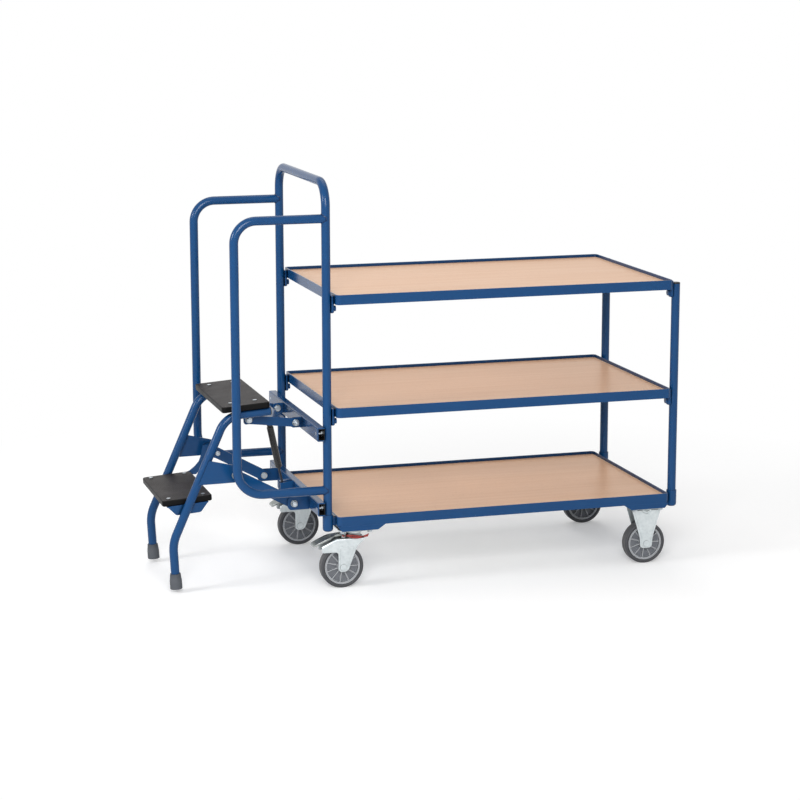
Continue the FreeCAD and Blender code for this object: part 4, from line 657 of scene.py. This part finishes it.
bpy.ops.mesh.primitive_grid_add(x_subdivisions=PEDAL_ROWS, y_subdivisions=PEDAL_COLUMNS, size=1)
pedal = bpy.context.object
for point in pedal.data.vertices:
    length = PEDAL_LINE[0][0] + (PEDAL_LINE[-1][0] - PEDAL_LINE[0][0]) * (point.co.x + 0.5)
    column = round((point.co.y + 0.5) * PEDAL_COLUMNS)
    neck = min(1.0, max(NECK_SHARE, NECK_SHARE + (-length - NECK_END) / NECK_RUN * (1 - NECK_SHARE)))
    tip = 1.0 - max(0.0, (-length - TIP_START) / TIP_RUN) ** 2 * TIP_DRAW
    rib = RIB_RISE if column in RIB_COLUMNS and RIB_ENDS[0] < length < RIB_ENDS[1] else 0.0
    point.co = (length * MM, (point.co.y * 2) * PEDAL_HALF * neck * tip,
                (on_line(PEDAL_LINE, length) + rib) * MM)
bpy.ops.object.mode_set(mode="EDIT")
pick(lambda edge: len(edge.link_faces) == 1 and not all(v.co.x > PEDAL_HEEL for v in edge.verts), "edges")
bpy.ops.mesh.extrude_region_move(TRANSFORM_OT_translate={"value": (0, 0, -PEDAL_FLANGE)})
bpy.ops.object.mode_set(mode="OBJECT")
thicken(PEDAL_SHEET, 0.0)
boss = bar_across(BOSS_RADIUS, -BOSS_HALF, BOSS_HALF, PIN_SIDES)
pick(lambda face: abs(face.normal.y) > FACES_AXIS)
bpy.ops.mesh.inset(thickness=BOSS_WALL, depth=0.0, use_individual=True)
bpy.ops.mesh.inset(thickness=0.0, depth=PIN_PROUD, use_individual=True)
pick(lambda face: face.normal.y < -FACES_AXIS and face.calc_center_median().y < -BOSS_HALF - PIN_PROUD / 2)
bpy.ops.mesh.extrude_region_move(TRANSFORM_OT_translate={"value": (0, -PIN_REACH, 0)})
bpy.ops.object.mode_set(mode="OBJECT")
boss.location = (PIN_X, 0, PIN_Z)
join_pieces(pedal, boss)
pedal.location = (SWIVEL_X, -CASTER_Y, 0)
settle("front_ribbed_pedal", "front_brake", "zinc_sheet", pedal_zinc, "front_brake_pedal")
copy_of(pedal, (0, 2 * CASTER_Y, 0))
settle("rear_ribbed_pedal", "rear_brake", "zinc_sheet", pedal_zinc, "rear_brake_pedal")

# Release arms. Two crossed red strips moulded as one on the pin's front end, bowed down
# under the bearing and turned up at the toe, which lifts the pedal again.
RELEASE_Y, RELEASE_WALL, RELEASE_HALF, RELEASE_EDGE = 26 * MM, 3 * MM, 1.9 * MM, 0.7 * MM
RELEASE_LINES = (((-40, 157), (-26, 155.5), (-15, 151), (-4, 147.8), (8, 147.2), (18, 148.8),
                  (30, 152.4), (39, 156)),
                 ((-38, 154.5), (-26, 156.6), (-12, 155.4), (2, 152.6), (16, 150.2), (28, 149.8), (37, 151)))
red_plastic, tree, surface = new_material("moulded_red_plastic", {"IOR": 1.5})
flow = noise(tree, 10, 4.0)
cover(surface, blend(tree, flow, "#7a211d", "#9c322b"), span(tree, flow, (0.3, 0.5)), rounded(tree, 0.8))
strands = []
for line in RELEASE_LINES:
    bpy.ops.mesh.primitive_grid_add(x_subdivisions=40, y_subdivisions=2, size=1)
    strand = bpy.context.object
    for point in strand.data.vertices:
        length = line[0][0] + (line[-1][0] - line[0][0]) * (point.co.x + 0.5)
        point.co = (length * MM, -RELEASE_Y, on_line(line, length) * MM + 2 * point.co.y * RELEASE_HALF)
    thicken(RELEASE_WALL, 0.0)
    bpy.ops.object.modifier_add(type="BEVEL")
    strand.modifiers["Bevel"].width = RELEASE_EDGE
    strand.modifiers["Bevel"].segments = 2
    strand.modifiers["Bevel"].limit_method = "ANGLE"
    bpy.ops.object.modifier_apply(modifier="Bevel")
    strands.append(strand)
arm = join_pieces(*strands)
arm.location = (SWIVEL_X, -CASTER_Y, 0)
settle("front_bowed_release", "front_brake", "red_plastic", red_plastic, "front_brake_release")
copy_of(arm, (0, 2 * CASTER_Y, 0))
settle("rear_bowed_release", "rear_brake", "red_plastic", red_plastic, "rear_brake_release")

# Fixed forks. Two pressed legs with a raised panel and a round notch under the plate, welded
# to the plate that four bolts hold to the channel.
FIXED_X, PLATE_SIZE, PLATE_Z, PLATE_CORNER = 665.76 * MM, (100 * MM, 85 * MM, 4 * MM), 172 * MM, 12 * MM
FIXED_OUTLINE = ((-19, 48.5), (19, 48.5), (19, 76.5), (47, 170), (11, 170), (7.8, 162.2), (0, 159),
                 (-7.8, 162.2), (-11, 170), (-47, 170), (-19, 76.5))
FIXED_BEND_ROUND, PANEL_RIM, PANEL_RISE = 14 * MM, 5 * MM, 1.6 * MM
FIXED_GAP_HALF, FIXED_GAP_TOP, FIXED_GAP_ROUND = 90 * MM, 190 * MM, 2 * MM
legs = upright_plate(FIXED_OUTLINE, -FORK_HALF, FORK_HALF)
round_corners(FIXED_OUTLINE[:2], TOE_ROUND)
round_corners((FIXED_OUTLINE[2], FIXED_OUTLINE[10]), FIXED_BEND_ROUND)
pick(lambda face: abs(face.normal.y) > FACES_AXIS)
bpy.ops.mesh.inset(thickness=PANEL_RIM, depth=0.0, use_individual=True)
bpy.ops.mesh.inset(thickness=PANEL_RISE, depth=PANEL_RISE, use_individual=True)
bpy.ops.object.mode_set(mode="OBJECT")
cut_away(legs, (-FIXED_GAP_HALF, -FORK_GAP_HALF, GAP_LOW), (FIXED_GAP_HALF, FORK_GAP_HALF, FIXED_GAP_TOP),
         FIXED_GAP_ROUND)
bpy.ops.mesh.primitive_cube_add(size=1, location=(0, 0, PLATE_Z))
plate = bpy.context.object
plate.scale = PLATE_SIZE
bpy.ops.object.transform_apply(location=True, scale=True)
bpy.ops.object.mode_set(mode="EDIT")
bevel_edges(lambda edge: reach(edge, "z") > MM, PLATE_CORNER, 6)
bpy.ops.object.mode_set(mode="OBJECT")
join_pieces(legs, plate)
legs.location = (FIXED_X, -CASTER_Y, 0)
settle("front_pressed_fixed_fork", "frame", "zinc_sheet", caster_zinc, "front_fixed_fork")
copy_of(legs, (0, 2 * CASTER_Y, 0))
settle("rear_pressed_fixed_fork", "frame", "zinc_sheet", caster_zinc, "rear_fixed_fork")
dress(caster_zinc, "fixed_axles")

# Wheels. Ribbed rims moulded in grey nylon with painted highlights, paler on the faces of
# ribs and ring and near white on their edges, in solid dark grey rubber tyres, paler on the tread.
RIB_FACE = (9.5 * MM, 10.7 * MM)
nylon, tree, surface = new_material("moulded_grey_nylon", {"IOR": 1.53})
across = maths(tree, "ABSOLUTE", part_of(tree, own_place(tree), "Y"))
from_wheel = maths(tree, "ABSOLUTE", maths(tree, "SUBTRACT", across, CASTER_Y))
haze = noise(tree, 3, 4.0)
web_tone = blend(tree, haze, "#5c5f65", "#7b7e84")
# Painted highlight: the ribs' and ring's faces are paler, and their edges near white.
rib_highlight_tone = blend(tree, span(tree, from_wheel, (0.0, 0.45), RIB_FACE), web_tone, "#b4b7ba")
edge_highlight_tone = blend(tree, on_edges(tree, rounded(tree, 1.6), 0.75, 0.9), rib_highlight_tone, "#dfe1e3")
cover(surface, edge_highlight_tone, span(tree, haze, (0.42, 0.62)), bump(tree, haze, 0.12, 0.2))
tyre_rubber, tree, surface = new_material("solid_grey_rubber", {"IOR": 1.52})
sideways = maths(tree, "ABSOLUTE", part_of(tree, facing(tree), "Y"))
rubbing = noise(tree, 5, 5.0)
wall_tone = blend(tree, rubbing, "#303134", "#404145")
tread_tone = blend(tree, rubbing, "#474749", "#5d5d5f")
cover(surface, blend(tree, span(tree, sideways, over=(0.55, 0.15)), wall_tone, tread_tone),
      span(tree, rubbing, (0.55, 0.8)), bump(tree, rubbing, 0.2, 0.3))
for side in ("front", "rear"):
    dress(nylon, f"{side}_swivel_rim", f"{side}_fixed_rim")
    dress(tyre_rubber, f"{side}_swivel_tyre", f"{side}_fixed_tyre")

# Studio. A white floor that keeps the soft shadow near the trolley and fades to plain white
# away from it, pale light all round, and four soft boxes. The rear one only lights, so that
# the boards don't mirror it.
FLOOR_SIZE, FLOOR_FADE, FLOOR_LIFT, AIR_STRENGTH = 60, (1.1, 2.2), 0.25, 0.38
SOFT_BOXES = (("overhead_box", (0.2, 0.6, 3.4), (0.2, 0.0, 0.5), 2.0, 17.0),
              ("rear_box", (0.6, 4.4, 2.7), (0.2, 0.0, 0.4), 2.2, 60.0),
              ("front_box", (-1.4, -4.6, 2.5), (0.1, 0.0, 0.4), 2.2, 195.0),
              ("left_box", (-3.8, -0.8, 2.0), (-0.2, 0.0, 0.5), 1.0, 56.0))


def seen_or_lit(tree, lit, seen):
    """One shader for what is seen, mirrored or looked through at, another for what only lights."""
    path = add_node(tree, "ShaderNodeLightPath")
    looked = maths(tree, "MAXIMUM", path.outputs["Is Camera Ray"], path.outputs["Is Glossy Ray"])
    through = maths(tree, "MAXIMUM", looked, path.outputs["Is Transmission Ray"])
    return add_node(tree, "ShaderNodeMixShader", {0: through, 1: lit, 2: seen}).outputs["Shader"]


bpy.ops.mesh.primitive_plane_add(size=FLOOR_SIZE)
floor = bpy.context.object
floor.name = "studio_floor"
studio_white, tree, surface = new_material("studio_white")
tree.nodes.remove(surface)
far = add_node(tree, "ShaderNodeVectorMath", {0: own_place(tree)}, operation="LENGTH")
card = add_node(tree, "ShaderNodeBsdfDiffuse", {"Color": linear("#eeeeee")})
lift = add_node(tree, "ShaderNodeEmission", {"Color": linear("#ffffff"), "Strength": FLOOR_LIFT})
white = add_node(tree, "ShaderNodeEmission", {"Color": linear("#ffffff"), "Strength": 1.0})
near = add_node(tree, "ShaderNodeAddShader", {0: card.outputs["BSDF"], 1: lift.outputs["Emission"]})
shown = add_node(tree, "ShaderNodeMixShader", {0: span(tree, far.outputs["Value"], over=FLOOR_FADE),
                                               1: near.outputs["Shader"], 2: white.outputs["Emission"]})
tree.links.new(seen_or_lit(tree, card.outputs["BSDF"], shown.outputs["Shader"]),
               tree.nodes["Material Output"].inputs["Surface"])
floor.data.materials.append(studio_white)

world = bpy.data.worlds.new("studio_air")
bpy.context.scene.world = world
world.use_nodes = True
tree = world.node_tree
air = tree.nodes["Background"]
air.inputs["Color"].default_value = linear("#ffffff")
air.inputs["Strength"].default_value = AIR_STRENGTH
backdrop = add_node(tree, "ShaderNodeBackground", {"Color": linear("#ffffff"), "Strength": 1.0})
tree.links.new(seen_or_lit(tree, air.outputs["Background"], backdrop.outputs["Background"]),
               tree.nodes["World Output"].inputs["Surface"])

for name, spot, target, size, power in SOFT_BOXES:
    bpy.ops.object.light_add(type="AREA", location=spot)
    lamp = bpy.context.object
    lamp.name = name
    lamp.data.size = size
    lamp.data.energy = power
    lamp.visible_glossy = name != "rear_box"
    lamp.rotation_euler = (Vector(target) - Vector(spot)).to_track_quat("-Z", "Y").to_euler()

# Camera where the photographer stood: left of the long side, a little above the push bar.
# Its axes, place and focal length were fitted to the trolley's corners in the photo.
RIGHT = Vector((0.958300, -0.285760, -0.001472))
UP = Vector((0.056644, 0.184901, 0.981123))
BACK = Vector((-0.280094, -0.940294, 0.193377))
STAND, FOCAL_PIXELS, PICTURE_PIXELS, SENSOR = (-1.917483, -6.394773, 1.797574), 2296.684, 800, 36.0
bpy.ops.object.camera_add(location=STAND)
camera = bpy.context.object
camera.rotation_euler = Matrix((RIGHT, UP, BACK)).transposed().to_euler()
camera.data.sensor_width = SENSOR
camera.data.lens = FOCAL_PIXELS / PICTURE_PIXELS * SENSOR
bpy.context.scene.camera = camera
bpy.context.scene.view_settings.view_transform = "Standard"
